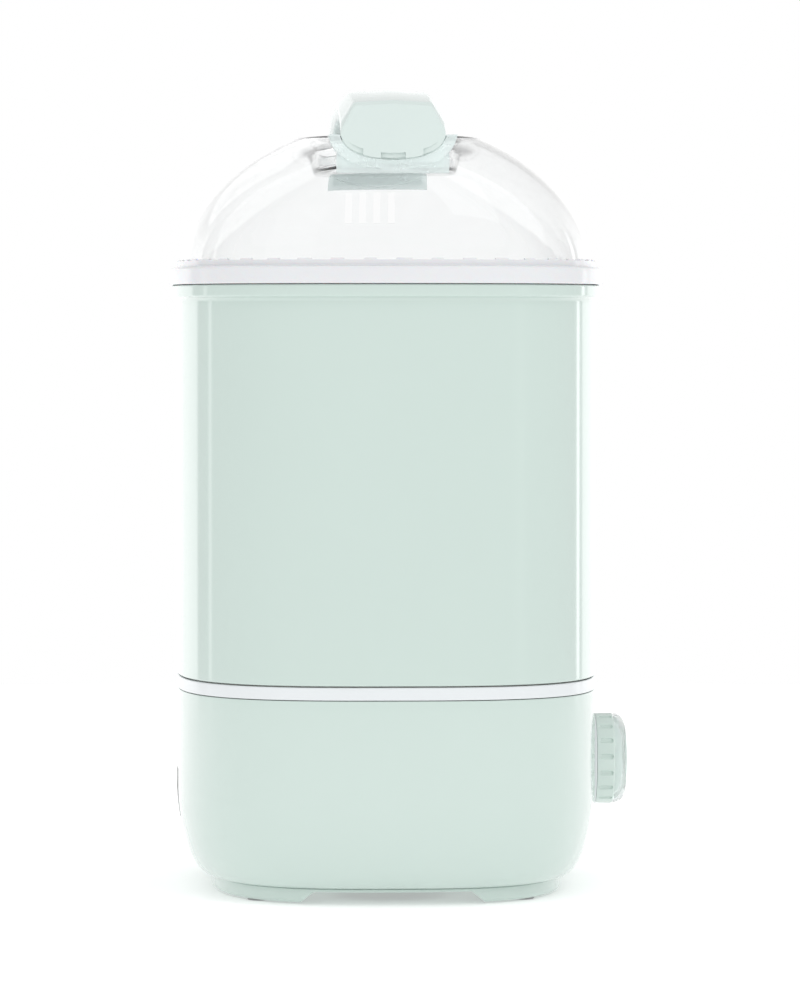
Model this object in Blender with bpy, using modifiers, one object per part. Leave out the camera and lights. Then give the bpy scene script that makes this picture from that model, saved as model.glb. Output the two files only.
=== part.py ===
"""Electric steam steriliser and dryer for baby bottles.

A base unit holds the water plate, the drying fan and the electronics. A tall sleeve stands on it and
holds the bottle rack and the accessory tray, and a clear vaulted lid with an arched handle closes it.
Metres, +Z up, the front with the control knob towards -Y. The origin is the middle of the floor box.
"""

import math

import bmesh
import bpy
from mathutils import Matrix, Vector

# ---------------------------------------------------------------- driving dimensions

# Plan outline of the body, a superellipse about the machine's upright axis.
BODY_HALF_X = 0.135
BODY_HALF_Y = 0.0966
PLAN_POWER = 3.0
PLAN_POINTS = 40
ROUND_SEGMENTS = 28

GAP = 0.0003
WALL = 0.0026
SKIN_STEP = 0.0002

# Heights of the stack, from the floor up.
PLINTH_BOTTOM = 0.0008
PLINTH_HOLLOW_TOP = 0.0058
HOUSING_BOTTOM = 0.0075
HOUSING_TOP = 0.0923
TRIM_HEIGHT = 0.0060
SLEEVE_SEAM = 0.0006
SLEEVE_HEIGHT = 0.1785
COLLAR_HEIGHT = 0.0055
LID_SEAM = 0.0010

# Base housing: its wall tucks in below the shoulder height towards a narrower plinth.
TUCK_TOP = 0.045
TUCK_DEPTH = 0.0139
TUCK_POWER = 1.6
TUCK_LEVELS = (0.0095, 0.013, 0.019, 0.027, 0.036, TUCK_TOP)
PLINTH_INSET = 0.0156
PLINTH_RING = 0.0114
INNER_LEVELS = (TUCK_TOP, 0.027, 0.016)
RIM_INSET = 0.0182
RIM_HEIGHT = 0.0035
COVER_PLATE = 0.0037
SPIGOT_WALL = 0.0025
SPIGOT_HEIGHT = 0.0048
NOTCH_BOTTOM = 0.083
NOTCH_TOP = 0.071

# Feet and cover screws.
FOOT_RADIUS = 0.005
FOOT_HEIGHT = 0.0020
SCREW_X = 0.080
SCREW_Y = 0.045
SCREW_SHANK = 0.0017
SCREW_HEAD = 0.0040
SCREW_HEAD_HEIGHT = 0.0020
SCREW_LENGTH = 0.0180
BOSS_RADIUS = 0.0045
BOSS_HEIGHT = 0.0042
BOSS_WALL = 0.0015
SCREW_TIP_CLEARANCE = 0.0020

# Slots under the fan that let air in between the feet.
INTAKE_SLOTS = 5
INTAKE_PITCH = 0.0090
INTAKE_WIDTH = 0.0030
INTAKE_LENGTH = 0.040

# Base deck, the chamber's floor.
DECK_THICKNESS = 0.0030
DECK_FLANGE = 0.0019
DECK_FLANGE_INSET = 0.0012
UPSTAND_HEIGHT = 0.0080
UPSTAND_WALL = 0.0020

# Heating plate, off the middle to leave room for the air outlet.
PLATE_X = 0.038
PLATE_RADIUS = 0.052
PLATE_THICKNESS = 0.0015
DISH_RADIUS = 0.043
DISH_DEPTH = 0.0045
WELL_RADIUS = 0.047
DISH_SLOPE = 0.0025
SEAL_HEIGHT = 0.0008
SEAL_CLEARANCE = 0.0006
SEAL_WIDTH = 0.0036
CLAMP_HEIGHT = 0.0020
CLAMP_RADIUS = 0.054
ELEMENT_RADIUS = 0.034
ELEMENT_TUBE = 0.0032
ELEMENT_OPENING = math.radians(40)
ELEMENT_BENDS = 20
TERMINAL_LENGTH = 0.012
THERMOSTAT_RADIUS = 0.0080
THERMOSTAT_HEIGHT = 0.0070
THERMOSTAT_CAP_HEIGHT = 0.0025
THERMOSTAT_NECK_RADIUS = 0.0056
FUSE_RADIUS = 0.0020
FUSE_LENGTH = 0.0130
FUSE_Y = 0.018

# Drying fan, air heater and duct, one above the other.
FAN_X = -0.072
FAN_SIZE = 0.060
FAN_DEPTH = 0.020
FAN_BOTTOM = 0.036
FAN_BORE = 0.028
FAN_HUB = 0.0120
FAN_HUB_WALL = 0.0025
HUB_CLEARANCE = 0.0006
FAN_BLADES = 7
BLADE_TIP_CLEARANCE = 0.0015
BLADE_THICKNESS = 0.0012
BLADE_HEIGHT = 0.0080
BLADE_PITCH = math.radians(38)
MOTOR_RADIUS = 0.0085
MOTOR_HEIGHT = 0.0090
STRUT_HEIGHT = 0.0020
STRUT_WIDTH = 0.0040
STRUT_ROOT = 0.0084
STRUT_ANGLES = (90, 210, 330)
DUCT_MARGIN = 0.0013
DUCT_WALL = 0.0020
HEATER_RISE = 0.0040
HEATER_FRAME = 0.0040
HEATER_HEIGHT = 0.0120
HEATER_SLOTS = 8
HEATER_SLOT = 0.0034
GRILLE_HEIGHT = 0.0100
GRILLE_WALL = 0.0020
GRILLE_MARGIN = 0.0040
GRILLE_SLOTS = 5
GRILLE_PITCH = 0.0085
GRILLE_SLOT = 0.0032
GRILLE_SLOT_LENGTH = 0.036
GRILLE_SIDE_SLOT_LOW = 0.0020
GRILLE_SIDE_SLOT_HIGH = 0.0065
OUTLET_SIZE = 0.046

# Air intake at the back: cover, filter and filter holder.
FILTER_X = 0.036
FILTER_Z = 0.046
FILTER_WIDTH = 0.056
FILTER_HEIGHT = 0.030
FILTER_DEPTH = 0.0090
FILTER_FRAME = 0.0030
FILTER_COVER_BORDER = 0.0030
FILTER_COVER_MARGIN = 0.0040
FILTER_COVER_SLOTS = 6
FILTER_COVER_SLOT = 0.0022
FILTER_SEAT = 0.0005
FILTER_LIP = 0.0040
FILTER_BACK_WALL = 0.0030

# Power inlet at the back.
INLET_X = -0.020
INLET_Z = 0.044
INLET_WIDTH = 0.030
INLET_HEIGHT = 0.022
INLET_FLANGE = 0.0024
INLET_SINK = 0.0007
INLET_BODY_MARGIN = 0.0020
INLET_DEPTH = 0.022
SOCKET_WIDTH = 0.018
SOCKET_HEIGHT = 0.010
SOCKET_DEPTH = 0.014
INLET_PIN_RADIUS = 0.0012
INLET_PIN_SPACING = 0.0086
INLET_PIN_LENGTH = 0.010

# Control knob at the front and what turns with it.
KNOB_Z = 0.057
KNOB_RADIUS = 0.0210
KNOB_FRONT = 0.0165
KNOB_GROOVE = 0.0011
KNOB_RIBS = 18
KNOB_BEZEL = 0.0063
KNOB_BEZEL_WALL = 0.0011
KNOB_CROWN = 0.0024
KNOB_CAP_DROP = 0.0006
KNOB_CAP_RADIUS = 0.0150
KNOB_FLANGE_STEP = 0.0008
KNOB_SHOULDER_ANGLES = (0, 30, 60, 80)
ESCUTCHEON_RADIUS = 0.0218
ESCUTCHEON_THICKNESS = 0.0014
ESCUTCHEON_CHAMFER = 0.0004
SHAFT_RADIUS = 0.0030
SHAFT_CLEARANCE = 0.0004
SHAFT_DEPTH_IN_KNOB = 0.0085
BUSHING_RADIUS = 0.0045
BUSHING_CLEARANCE = 0.0010
ENCODER_SIZE = 0.014
ENCODER_DEPTH = 0.0070
ENCODER_BACK_WALL = 0.0040
ENCODER_STANDOFF = 0.0030

# Indicator lens above the knob.
LENS_Z = 0.083
LENS_WIDTH = 0.026
LENS_HEIGHT = 0.0034

# Circuit boards.
BOARD_THICKNESS = 0.0016
CONTROL_BOARD_WIDTH = 0.064
CONTROL_BOARD_HEIGHT = 0.052
POWER_BOARD_X = 0.052
POWER_BOARD_WIDTH = 0.084
POWER_BOARD_DEPTH = 0.074
POWER_BOARD_Z = 0.020
BOARD_POST_RADIUS = 0.0030
BOARD_POST_INSET_X = 0.012
BOARD_POST_INSET_Y = 0.006
# Devices on the power board: two corners of each, from the board's middle, and its height.
DEVICES = (
    ((-0.030, -0.024), (-0.008, -0.004), 0.020),
    ((0.004, -0.028), (0.024, -0.010), 0.014),
    ((-0.026, 0.008), (-0.010, 0.026), 0.016),
    ((0.008, 0.004), (0.030, 0.012), 0.012),
)

# Sleeve: collar, tray ledge.
COLLAR_OUT = 0.0024
COLLAR_SWEEP = 0.0012
COLLAR_EDGE = 0.0008
LEDGE_DROP = 0.0194
LEDGE_WIDTH = 0.0030
LEDGE_HEIGHT = 0.0020

# Bottle rack and accessory tray.
RACK_INSET = 0.0080
RACK_FLOOR_HEIGHT = 0.0150
RACK_FLOOR = 0.0026
RACK_WALL = 0.0022
RACK_WALL_HEIGHT = 0.0160
RACK_PEGS_X = 3
RACK_PEG_SPACING_X = 0.076
RACK_PEG_SPACING_Y = 0.078
RACK_PEG_HEIGHT = 0.052
RACK_PEG_RADIUS = 0.0065
RACK_FOOT_RADIUS = 0.0050
RACK_FOOT_X = 0.098
RACK_FOOT_Y = 0.058
RACK_SLOT_WIDTH = 0.016
RACK_SLOT_ROWS = ((-0.066, -0.050), (-0.028, -0.006), (0.006, 0.028), (0.050, 0.066))
TRAY_CLEARANCE = 0.0005
TRAY_DEPTH = 0.0270
TRAY_WALL = 0.0020
TRAY_FLANGE = 0.0020
TRAY_FLANGE_WIDTH = 0.0050
TRAY_TAPER = 0.0020
SLOT_WIDTH = 0.0050
SLOT_PITCH = 0.0150
TRAY_SLOTS = 11
TRAY_SLOT_REACH = 0.070
TRAY_SLOT_MARGIN = 0.010
TRAY_SPINE = 0.0080

# Lid: rim, vaulted dome, handle.
RIM_OUT = 0.0032
RIM_SKIRT = 0.0070
RIM_NECK = 0.0036
RIM_NECK_INSET = 0.0002
RIM_EDGE = 0.0006
RIM_STEP = 0.0008
LOCATOR_DROP = 0.0084
LOCATOR_WALL = 0.0017
LOCATOR_CLEARANCE = 0.0006
DOME_SEAT = 0.0029
DOME_INSET = 0.0018
DOME_WALL = 0.0022
DOME_SPRING = 0.0086
DOME_RISE = 0.0569
DOME_RISE_Y = 0.0654
DOME_POWER_Y = 1.8
DOME_RISE_X = 0.0870
DOME_POWER_X = 2.9
DOME_RINGS = 7
WELL_HALF_X = 0.060
WELL_HALF_Y = 0.036
WELL_DEPTH = 0.0105
WELL_SLOPE = 0.0045
WELL_POWER = 2.4
VENT_COUNT = 4
VENT_PITCH = 0.0072
VENT_WIDTH = 0.0034
VENT_HEIGHT = 0.0156
VENT_RISE = 0.0228
VENT_SHIFT = 0.0030
VENT_REACH = 0.030

HANDLE_OVERHANG = 0.0109
HANDLE_RISE = 0.0237
HANDLE_END_RISE = 0.0138
HANDLE_TOP_HALF = 0.0175
HANDLE_WIDE_HALF = 0.0240
HANDLE_END_DEPTH = 0.0250
HANDLE_MIDDLE_DEPTH = 0.0135
HANDLE_STATIONS = 16
HANDLE_LEAN = 0.0060
# The section as shares of its half width and depth: a shoulder, a waist, then an arc below.
HANDLE_SHOULDER_WIDTH = 0.86
HANDLE_SHOULDER_DEPTH = 0.28
HANDLE_WAIST_DEPTH = 0.52
HANDLE_ARC_POWER = 0.9
HANDLE_ARC_ANGLES = (35, 60, 80)
SEAT_CLEARANCE = 0.0004
SEAT_LIP = 0.0046
SEAT_LENGTH = 0.022
SEAT_END_INSET = 0.0005
SEAT_CUT_SHARE = 0.74
LEG_SIDE_INSET = 0.0015
LEG_THICKNESS = 0.0034
LEG_DROP = 0.0160
LEG_SETBACK = 0.0085
SOCKET_WALL = 0.0022
SOCKET_TOP_DROP = 0.0060

# How far cutters run past a face, and how deep joined pieces sink into each other.
CUT = 0.010
BITE = 0.001

# ---------------------------------------------------------------- places that follow from them

KNOB_REACH = BODY_HALF_Y + KNOB_FRONT
RIM_REACH = BODY_HALF_Y + RIM_OUT
AXIS_Y = (KNOB_REACH - RIM_REACH) / 2

SKIN_WALL = WALL - SKIN_STEP
TRIM_TOP = HOUSING_TOP + TRIM_HEIGHT
SLEEVE_BOTTOM = TRIM_TOP + SLEEVE_SEAM
SLEEVE_TOP = SLEEVE_BOTTOM + SLEEVE_HEIGHT
LEDGE_TOP = SLEEVE_TOP - LEDGE_DROP
DECK_BOTTOM = HOUSING_TOP + GAP
DECK_TOP = DECK_BOTTOM + DECK_THICKNESS
DECK_INSET = WALL + 2 * GAP
PLATE_TOP = DECK_BOTTOM - SEAL_HEIGHT - 2 * GAP
DISH_FLOOR = PLATE_TOP - DISH_DEPTH
DISH_UNDERSIDE = DISH_FLOOR - PLATE_THICKNESS
FAN_TOP = FAN_BOTTOM + FAN_DEPTH
LID_BOTTOM = SLEEVE_TOP + LID_SEAM
DOME_BASE = LID_BOTTOM + DOME_SEAT
DOME_START = LID_BOTTOM + DOME_SPRING
DOME_TOP = DOME_START + DOME_RISE
DOME_HALF_X = BODY_HALF_X - DOME_INSET
DOME_HALF_Y = BODY_HALF_Y - DOME_INSET
DOME_TOP_HALF_X = DOME_HALF_X * math.sqrt(1 - (DOME_RISE / DOME_RISE_X) ** DOME_POWER_X)
HANDLE_HALF_LENGTH = DOME_TOP_HALF_X + HANDLE_OVERHANG
LEG_HALF_WIDTH = HANDLE_WIDE_HALF - LEG_SIDE_INSET
COVER_PLATE_TOP = PLINTH_HOLLOW_TOP + COVER_PLATE
BOSS_TOP = COVER_PLATE_TOP + BOSS_HEIGHT

# ---------------------------------------------------------------- helpers


def clear_scene():
    for obj in list(bpy.data.objects):
        bpy.data.objects.remove(obj)


def new_collection(name):
    made = bpy.data.collections.new(name)
    bpy.context.scene.collection.children.link(made)
    return made


def material(name, colour, roughness, metallic=0.0, alpha=1.0):
    made = bpy.data.materials.new(name)
    made.use_nodes = True
    shader = made.node_tree.nodes["Principled BSDF"]
    shader.inputs["Base Color"].default_value = (*colour, 1.0)
    shader.inputs["Roughness"].default_value = roughness
    shader.inputs["Metallic"].default_value = metallic
    shader.inputs["Alpha"].default_value = alpha
    return made


def object_from(name, mesh_maker, finish=None):
    """An object whose mesh the maker fills. With a finish it is a part, and without one a cutter."""
    mesh = bpy.data.meshes.new(name)
    bm = bmesh.new()
    mesh_maker(bm)
    bmesh.ops.recalc_face_normals(bm, faces=bm.faces)
    bm.to_mesh(mesh)
    bm.free()
    obj = bpy.data.objects.new(name, mesh)
    if finish is None:
        CUTTERS.objects.link(obj)
        obj.hide_render = True
        obj.display_type = "WIRE"
    else:
        PARTS.objects.link(obj)
        obj.data.materials.append(finish)
    return obj


def smooth(obj, degrees=35):
    obj.data.shade_smooth()
    obj.data.set_sharp_from_angle(angle=math.radians(degrees))


def axis_point(x, y, z):
    """A point given from the machine's upright axis, in world coordinates."""
    return Vector((x, AXIS_Y + y, z))


def boolean(obj, other, operation="DIFFERENCE"):
    modifier = obj.modifiers.new(operation.title() + " " + other.name, "BOOLEAN")
    modifier.operation = operation
    modifier.object = other
    modifier.solver = "EXACT"


def add_box(bm, low, high):
    size = Vector(high) - Vector(low)
    centre = (Vector(high) + Vector(low)) / 2
    matrix = Matrix.Translation(centre) @ Matrix.Diagonal((*size, 1.0))
    bmesh.ops.create_cube(bm, size=1.0, matrix=matrix)


def add_rod(bm, start, end, radius, segments=16, end_radius=None):
    """A closed cylinder or cone between two points."""
    start, end = Vector(start), Vector(end)
    turn = (end - start).to_track_quat("Z", "Y").to_matrix().to_4x4()
    bmesh.ops.create_cone(
        bm,
        cap_ends=True,
        segments=segments,
        radius1=radius,
        radius2=radius if end_radius is None else end_radius,
        depth=(end - start).length,
        matrix=Matrix.Translation((start + end) / 2) @ turn,
    )


def box(name, low, high, finish=None):
    return object_from(name, lambda bm: add_box(bm, low, high), finish)


def boxes(name, pairs, finish=None):
    def fill(bm):
        for low, high in pairs:
            add_box(bm, low, high)

    return object_from(name, fill, finish)


def rod(name, start, end, radius, segments=16, finish=None, end_radius=None):
    return object_from(name, lambda bm: add_rod(bm, start, end, radius, segments, end_radius), finish)


def rods(name, pairs, radius, segments=16, finish=None):
    def fill(bm):
        for start, end in pairs:
            add_rod(bm, start, end, radius, segments)

    return object_from(name, fill, finish)


def plan_ring(half_x, half_y, z, power=PLAN_POWER):
    """The points of one level superellipse about the machine's axis."""
    points = []
    for index in range(PLAN_POINTS):
        angle = 2 * math.pi * index / PLAN_POINTS
        across, along = math.cos(angle), math.sin(angle)
        x = math.copysign(abs(across) ** (2 / power), across) * half_x
        y = math.copysign(abs(along) ** (2 / power), along) * half_y
        points.append(axis_point(x, y, z))
    return points


def body_ring(offset, z):
    """A level ring at an offset from the body's outline, outwards if positive."""
    return plan_ring(BODY_HALF_X + offset, BODY_HALF_Y + offset, z)


def add_loft(bm, rings, closed):
    """Skins the rings in order. A closed loft joins the last ring to the first, an open one gets caps."""
    made = [[bm.verts.new(point) for point in ring] for ring in rings]
    pairs = list(zip(made, made[1:]))
    if closed:
        pairs.append((made[-1], made[0]))
    for lower, upper in pairs:
        count = len(lower)
        for index in range(count):
            after = (index + 1) % count
            bm.faces.new((lower[index], lower[after], upper[after], upper[index]))
    if not closed:
        bm.faces.new(made[0])
        bm.faces.new(made[-1])


def loft(name, rings, closed, finish=None):
    obj = object_from(name, lambda bm: add_loft(bm, rings, closed), finish)
    if finish is not None:
        smooth(obj)
    return obj


def body_loft(name, steps, closed, finish=None):
    return loft(name, [body_ring(offset, z) for offset, z in steps], closed, finish)


def turned(name, profile, centre, finish, segments=ROUND_SEGMENTS, axis="Z"):
    """A turned piece. The profile holds (radius, height) points, from the top down the outer side."""
    mesh = bpy.data.meshes.new(name)
    bm = bmesh.new()
    made = [bm.verts.new((radius, 0.0, height)) for radius, height in profile]
    for first, second in zip(made, made[1:]):
        bm.edges.new((first, second))
    if profile[0][0] > 0:
        bm.edges.new((made[-1], made[0]))
    bm.to_mesh(mesh)
    bm.free()
    obj = bpy.data.objects.new(name, mesh)
    obj.location = centre
    if axis == "-Y":
        obj.rotation_euler = (math.radians(90), 0.0, 0.0)
    screw = obj.modifiers.new("Turn", "SCREW")
    screw.steps = segments
    screw.render_steps = segments
    screw.use_merge_vertices = True
    screw.merge_threshold = 0.00001
    PARTS.objects.link(obj)
    obj.data.materials.append(finish)
    return obj


def curve_tube(name, points, radius, finish):
    """A bent round bar along the points, capped, as a welded mesh."""
    curve = bpy.data.curves.new(name, "CURVE")
    curve.dimensions = "3D"
    curve.bevel_depth = radius
    curve.bevel_resolution = 1
    curve.use_fill_caps = True
    spline = curve.splines.new("POLY")
    spline.points.add(len(points) - 1)
    for target, point in zip(spline.points, points):
        target.co = (*point, 1.0)
    guide = bpy.data.objects.new(name + "_guide", curve)
    PARTS.objects.link(guide)
    bpy.context.view_layer.update()
    graph = bpy.context.evaluated_depsgraph_get()
    mesh = bpy.data.meshes.new_from_object(guide.evaluated_get(graph))
    bpy.data.objects.remove(guide)
    bm = bmesh.new()
    bm.from_mesh(mesh)
    bmesh.ops.remove_doubles(bm, verts=bm.verts, dist=0.00001)
    bm.to_mesh(mesh)
    bm.free()
    mesh.materials.clear()
    mesh.materials.append(finish)
    obj = bpy.data.objects.new(name, mesh)
    PARTS.objects.link(obj)
    return obj


def carry(empty_name, place, children):
    """Parents the pieces of one moving body to an empty at its joint."""
    empty = bpy.data.objects.new(empty_name, None)
    empty.location = place
    empty.empty_display_size = 0.02
    PARTS.objects.link(empty)
    for child in children:
        child.location = child.location - place
        child.parent = empty
    return empty


def four_corners(x, y):
    return [(side_x * x, side_y * y) for side_x in (-1, 1) for side_y in (-1, 1)]


# ---------------------------------------------------------------- base unit


def tuck(z):
    """How far the base wall lies inside the body outline at a height."""
    if z >= TUCK_TOP:
        return 0.0
    share = (TUCK_TOP - z) / (TUCK_TOP - HOUSING_BOTTOM)
    return TUCK_DEPTH * (1 - math.sqrt(max(0.0, 1 - share**TUCK_POWER)))


def wall_reach(x, inset):
    """How far back from the axis an inset copy of the body's outline reaches at a sideways place."""
    share = min(1.0, abs(x) / (BODY_HALF_X - inset))
    return (BODY_HALF_Y - inset) * (1 - share**PLAN_POWER) ** (1 / PLAN_POWER)


def filter_back():
    """Where the filter and its holder end, a gap inside the wall at the holder's outer lowest corner."""
    corner_x = abs(FILTER_X) + FILTER_WIDTH / 2 + FILTER_FRAME
    low_z = FILTER_Z - FILTER_HEIGHT / 2 - FILTER_COVER_BORDER
    return wall_reach(corner_x, tuck(low_z) + WALL) - FILTER_SEAT


def skin_piece(name, low_x, high_x, low_z, high_z, side, finish):
    """A curved panel that lies flush in the base wall, at the back for side 1 and the front for -1."""
    levels = [low_z, *(z for z in TUCK_LEVELS if low_z < z < high_z), high_z]
    outer = [(-tuck(z), z) for z in levels]
    inner = [(-tuck(z) - SKIN_WALL, z) for z in reversed(levels)]
    panel = body_loft(name, outer + inner, True, finish)
    near, far = sorted((side * BODY_HALF_Y / 2, side * 2 * BODY_HALF_Y))
    keep = box(
        name + "_limits",
        axis_point(low_x, near, low_z - WALL),
        axis_point(high_x, far, high_z + WALL),
    )
    boolean(panel, keep, "INTERSECT")
    return panel


def wall_window(name, low_x, high_x, low_z, high_z, side):
    """A cutter through the base wall, a gap larger than the piece that it takes."""
    near, far = sorted((side * BODY_HALF_Y / 2, side * 2 * BODY_HALF_Y))
    low = axis_point(low_x - GAP, near, low_z - GAP)
    high = axis_point(high_x + GAP, far, high_z + GAP)
    return box(name, low, high)


def filter_panel_limits():
    half_width = FILTER_WIDTH / 2 + FILTER_FRAME
    half_height = FILTER_HEIGHT / 2 + FILTER_COVER_BORDER
    return (
        FILTER_X - half_width,
        FILTER_X + half_width,
        FILTER_Z - half_height,
        FILTER_Z + half_height,
    )


def lens_limits():
    return -LENS_WIDTH / 2, LENS_WIDTH / 2, LENS_Z - LENS_HEIGHT / 2, LENS_Z + LENS_HEIGHT / 2


def make_base_housing():
    levels = [HOUSING_BOTTOM, *TUCK_LEVELS, HOUSING_TOP]
    outer = [(-tuck(z), z) for z in levels]
    inner = [(-tuck(z) - WALL, z) for z in (HOUSING_TOP, *INNER_LEVELS)]
    rim = [(-RIM_INSET, HOUSING_BOTTOM + RIM_HEIGHT), (-RIM_INSET, HOUSING_BOTTOM)]
    housing = body_loft("base_housing", outer + inner + rim, True, MINT)
    boolean(housing, wall_window("filter_window", *filter_panel_limits(), 1))
    boolean(housing, wall_window("lens_window", *lens_limits(), -1))
    inlet = (
        INLET_X - INLET_WIDTH / 2,
        INLET_X + INLET_WIDTH / 2,
        INLET_Z - INLET_HEIGHT / 2,
        INLET_Z + INLET_HEIGHT / 2,
    )
    boolean(housing, wall_window("inlet_window", *inlet, 1))
    bore = rod(
        "bushing_bore",
        axis_point(0, -BODY_HALF_Y / 2, KNOB_Z),
        axis_point(0, -2 * BODY_HALF_Y, KNOB_Z),
        BUSHING_RADIUS + GAP,
        20,
    )
    boolean(housing, bore)


def make_bottom_cover():
    shelf = HOUSING_BOTTOM - GAP
    spigot_inset = RIM_INSET + GAP
    inner_inset = spigot_inset + SPIGOT_WALL
    ring_inset = PLINTH_INSET + PLINTH_RING
    steps = [
        (-ring_inset, PLINTH_HOLLOW_TOP),
        (-ring_inset, PLINTH_BOTTOM),
        (-PLINTH_INSET, PLINTH_BOTTOM),
        (-PLINTH_INSET, shelf),
        (-spigot_inset, shelf),
        (-spigot_inset, shelf + SPIGOT_HEIGHT),
        (-inner_inset, shelf + SPIGOT_HEIGHT),
        (-inner_inset, COVER_PLATE_TOP),
    ]
    cover = body_loft("bottom_cover", steps, False, MINT)
    notch = loft("side_notch", notch_rings(), False)
    boolean(cover, notch)
    corners = four_corners(SCREW_X, SCREW_Y)
    bosses = rods(
        "cover_bosses",
        [(axis_point(x, y, COVER_PLATE_TOP - BITE), axis_point(x, y, BOSS_TOP)) for x, y in corners],
        BOSS_RADIUS + BOSS_WALL,
    )
    boolean(cover, bosses, "UNION")
    post_x = POWER_BOARD_WIDTH / 2 - BOARD_POST_INSET_X
    post_y = POWER_BOARD_DEPTH / 2 - BOARD_POST_INSET_Y
    places = [(POWER_BOARD_X + x, y) for x, y in four_corners(post_x, post_y)]
    low_z, high_z = COVER_PLATE_TOP - BITE, POWER_BOARD_Z - GAP
    posts = rods(
        "board_posts",
        [(axis_point(x, y, low_z), axis_point(x, y, high_z)) for x, y in places],
        BOARD_POST_RADIUS,
        12,
    )
    boolean(cover, posts, "UNION")
    recess_top = PLINTH_HOLLOW_TOP + SCREW_HEAD_HEIGHT + 2 * GAP
    heads = rods(
        "screw_recesses",
        [(axis_point(x, y, 0.0), axis_point(x, y, recess_top)) for x, y in corners],
        SCREW_HEAD + 2 * GAP,
    )
    boolean(cover, heads)
    shanks = rods(
        "screw_holes",
        [(axis_point(x, y, 0.0), axis_point(x, y, BOSS_TOP + CUT)) for x, y in corners],
        SCREW_SHANK + GAP,
        12,
    )
    boolean(cover, shanks)
    foot_top = FOOT_HEIGHT + GAP
    recesses = rods(
        "foot_recesses",
        [(axis_point(x, y, -foot_top), axis_point(x, y, foot_top)) for x, y in foot_places()],
        FOOT_RADIUS + GAP,
        20,
    )
    boolean(cover, recesses)
    slots = []
    for index in range(INTAKE_SLOTS):
        y = (index - (INTAKE_SLOTS - 1) / 2) * INTAKE_PITCH
        low = axis_point(FAN_X - INTAKE_LENGTH / 2, y - INTAKE_WIDTH / 2, 0.0)
        high = axis_point(FAN_X + INTAKE_LENGTH / 2, y + INTAKE_WIDTH / 2, COVER_PLATE_TOP + CUT)
        slots.append((low, high))
    boolean(cover, boxes("intake_slots", slots))


def notch_rings():
    """The plinth's side notch: an upright trapezium drawn right through along X."""
    top = PLINTH_HOLLOW_TOP
    outline = [
        (-NOTCH_BOTTOM / 2, -top),
        (NOTCH_BOTTOM / 2, -top),
        (NOTCH_BOTTOM / 2, PLINTH_BOTTOM),
        (NOTCH_TOP / 2, top),
        (-NOTCH_TOP / 2, top),
        (-NOTCH_BOTTOM / 2, PLINTH_BOTTOM),
    ]
    return [[axis_point(x, y, z) for y, z in outline] for x in (-2 * BODY_HALF_X, 2 * BODY_HALF_X)]


def foot_places():
    """The four corners of the plinth ring's middle line."""
    inset = PLINTH_INSET + PLINTH_RING / 2
    corner = math.sqrt(0.5) ** (2 / PLAN_POWER)
    return four_corners((BODY_HALF_X - inset) * corner, (BODY_HALF_Y - inset) * corner)


def make_feet_and_screws():
    names = ("back_left", "front_left", "back_right", "front_right")
    order = (1, 0, 3, 2)
    corners = [foot_places()[index] for index in order]
    for label, (x, y) in zip(names, corners):
        base = axis_point(x, y, 0.0)
        rod("foot_pad_" + label, base, base + Vector((0, 0, FOOT_HEIGHT)), FOOT_RADIUS, 20, RUBBER)
    corners = [four_corners(SCREW_X, SCREW_Y)[index] for index in order]
    for label, (x, y) in zip(names, corners):
        under = PLINTH_HOLLOW_TOP + GAP
        top = under + SCREW_HEAD_HEIGHT
        profile = [
            (0.0, top + SCREW_LENGTH),
            (SCREW_SHANK, top + SCREW_LENGTH),
            (SCREW_SHANK, top),
            (SCREW_HEAD, top),
            (SCREW_HEAD, under),
            (0.0, under),
        ]
        turned("cover_screw_" + label, profile, axis_point(x, y, 0.0), STEEL, 12)


def make_base_trim_ring():
    flange_top = DECK_BOTTOM + DECK_FLANGE + GAP
    steps = [
        (0.0, HOUSING_TOP + GAP),
        (0.0, TRIM_TOP),
        (-DECK_INSET + GAP, TRIM_TOP),
        (-DECK_INSET + GAP, flange_top),
        (-DECK_FLANGE_INSET + GAP, flange_top),
        (-DECK_FLANGE_INSET + GAP, HOUSING_TOP + GAP),
    ]
    body_loft("base_trim_ring", steps, True, WHITE)


def make_base_deck():
    upstand = DECK_INSET + UPSTAND_WALL
    steps = [
        (-DECK_FLANGE_INSET, DECK_BOTTOM),
        (-DECK_FLANGE_INSET, DECK_BOTTOM + DECK_FLANGE),
        (-DECK_INSET, DECK_BOTTOM + DECK_FLANGE),
        (-DECK_INSET, DECK_TOP + UPSTAND_HEIGHT),
        (-upstand, DECK_TOP + UPSTAND_HEIGHT),
        (-upstand, DECK_TOP),
    ]
    deck = body_loft("base_deck", steps, False, WARM_WHITE)
    low_z, high_z = DECK_BOTTOM - CUT, DECK_TOP + CUT
    well_low, well_high = axis_point(PLATE_X, 0, low_z), axis_point(PLATE_X, 0, high_z)
    well = rod("plate_well", well_low, well_high, WELL_RADIUS, ROUND_SEGMENTS)
    boolean(deck, well)
    half = OUTLET_SIZE / 2
    boolean(deck, fan_box("deck_outlet", half, low_z, high_z))
    corners = four_corners(SCREW_X, SCREW_Y)
    posts = rods(
        "deck_posts",
        [(axis_point(x, y, BOSS_TOP + GAP), axis_point(x, y, DECK_BOTTOM + BITE)) for x, y in corners],
        BOSS_RADIUS,
    )
    boolean(deck, posts, "UNION")
    hole_top = PLINTH_HOLLOW_TOP + SCREW_HEAD_HEIGHT + SCREW_LENGTH + SCREW_TIP_CLEARANCE
    holes = rods(
        "post_holes",
        [(axis_point(x, y, 0.0), axis_point(x, y, hole_top)) for x, y in corners],
        SCREW_SHANK + GAP,
        12,
    )
    boolean(deck, holes)


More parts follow.
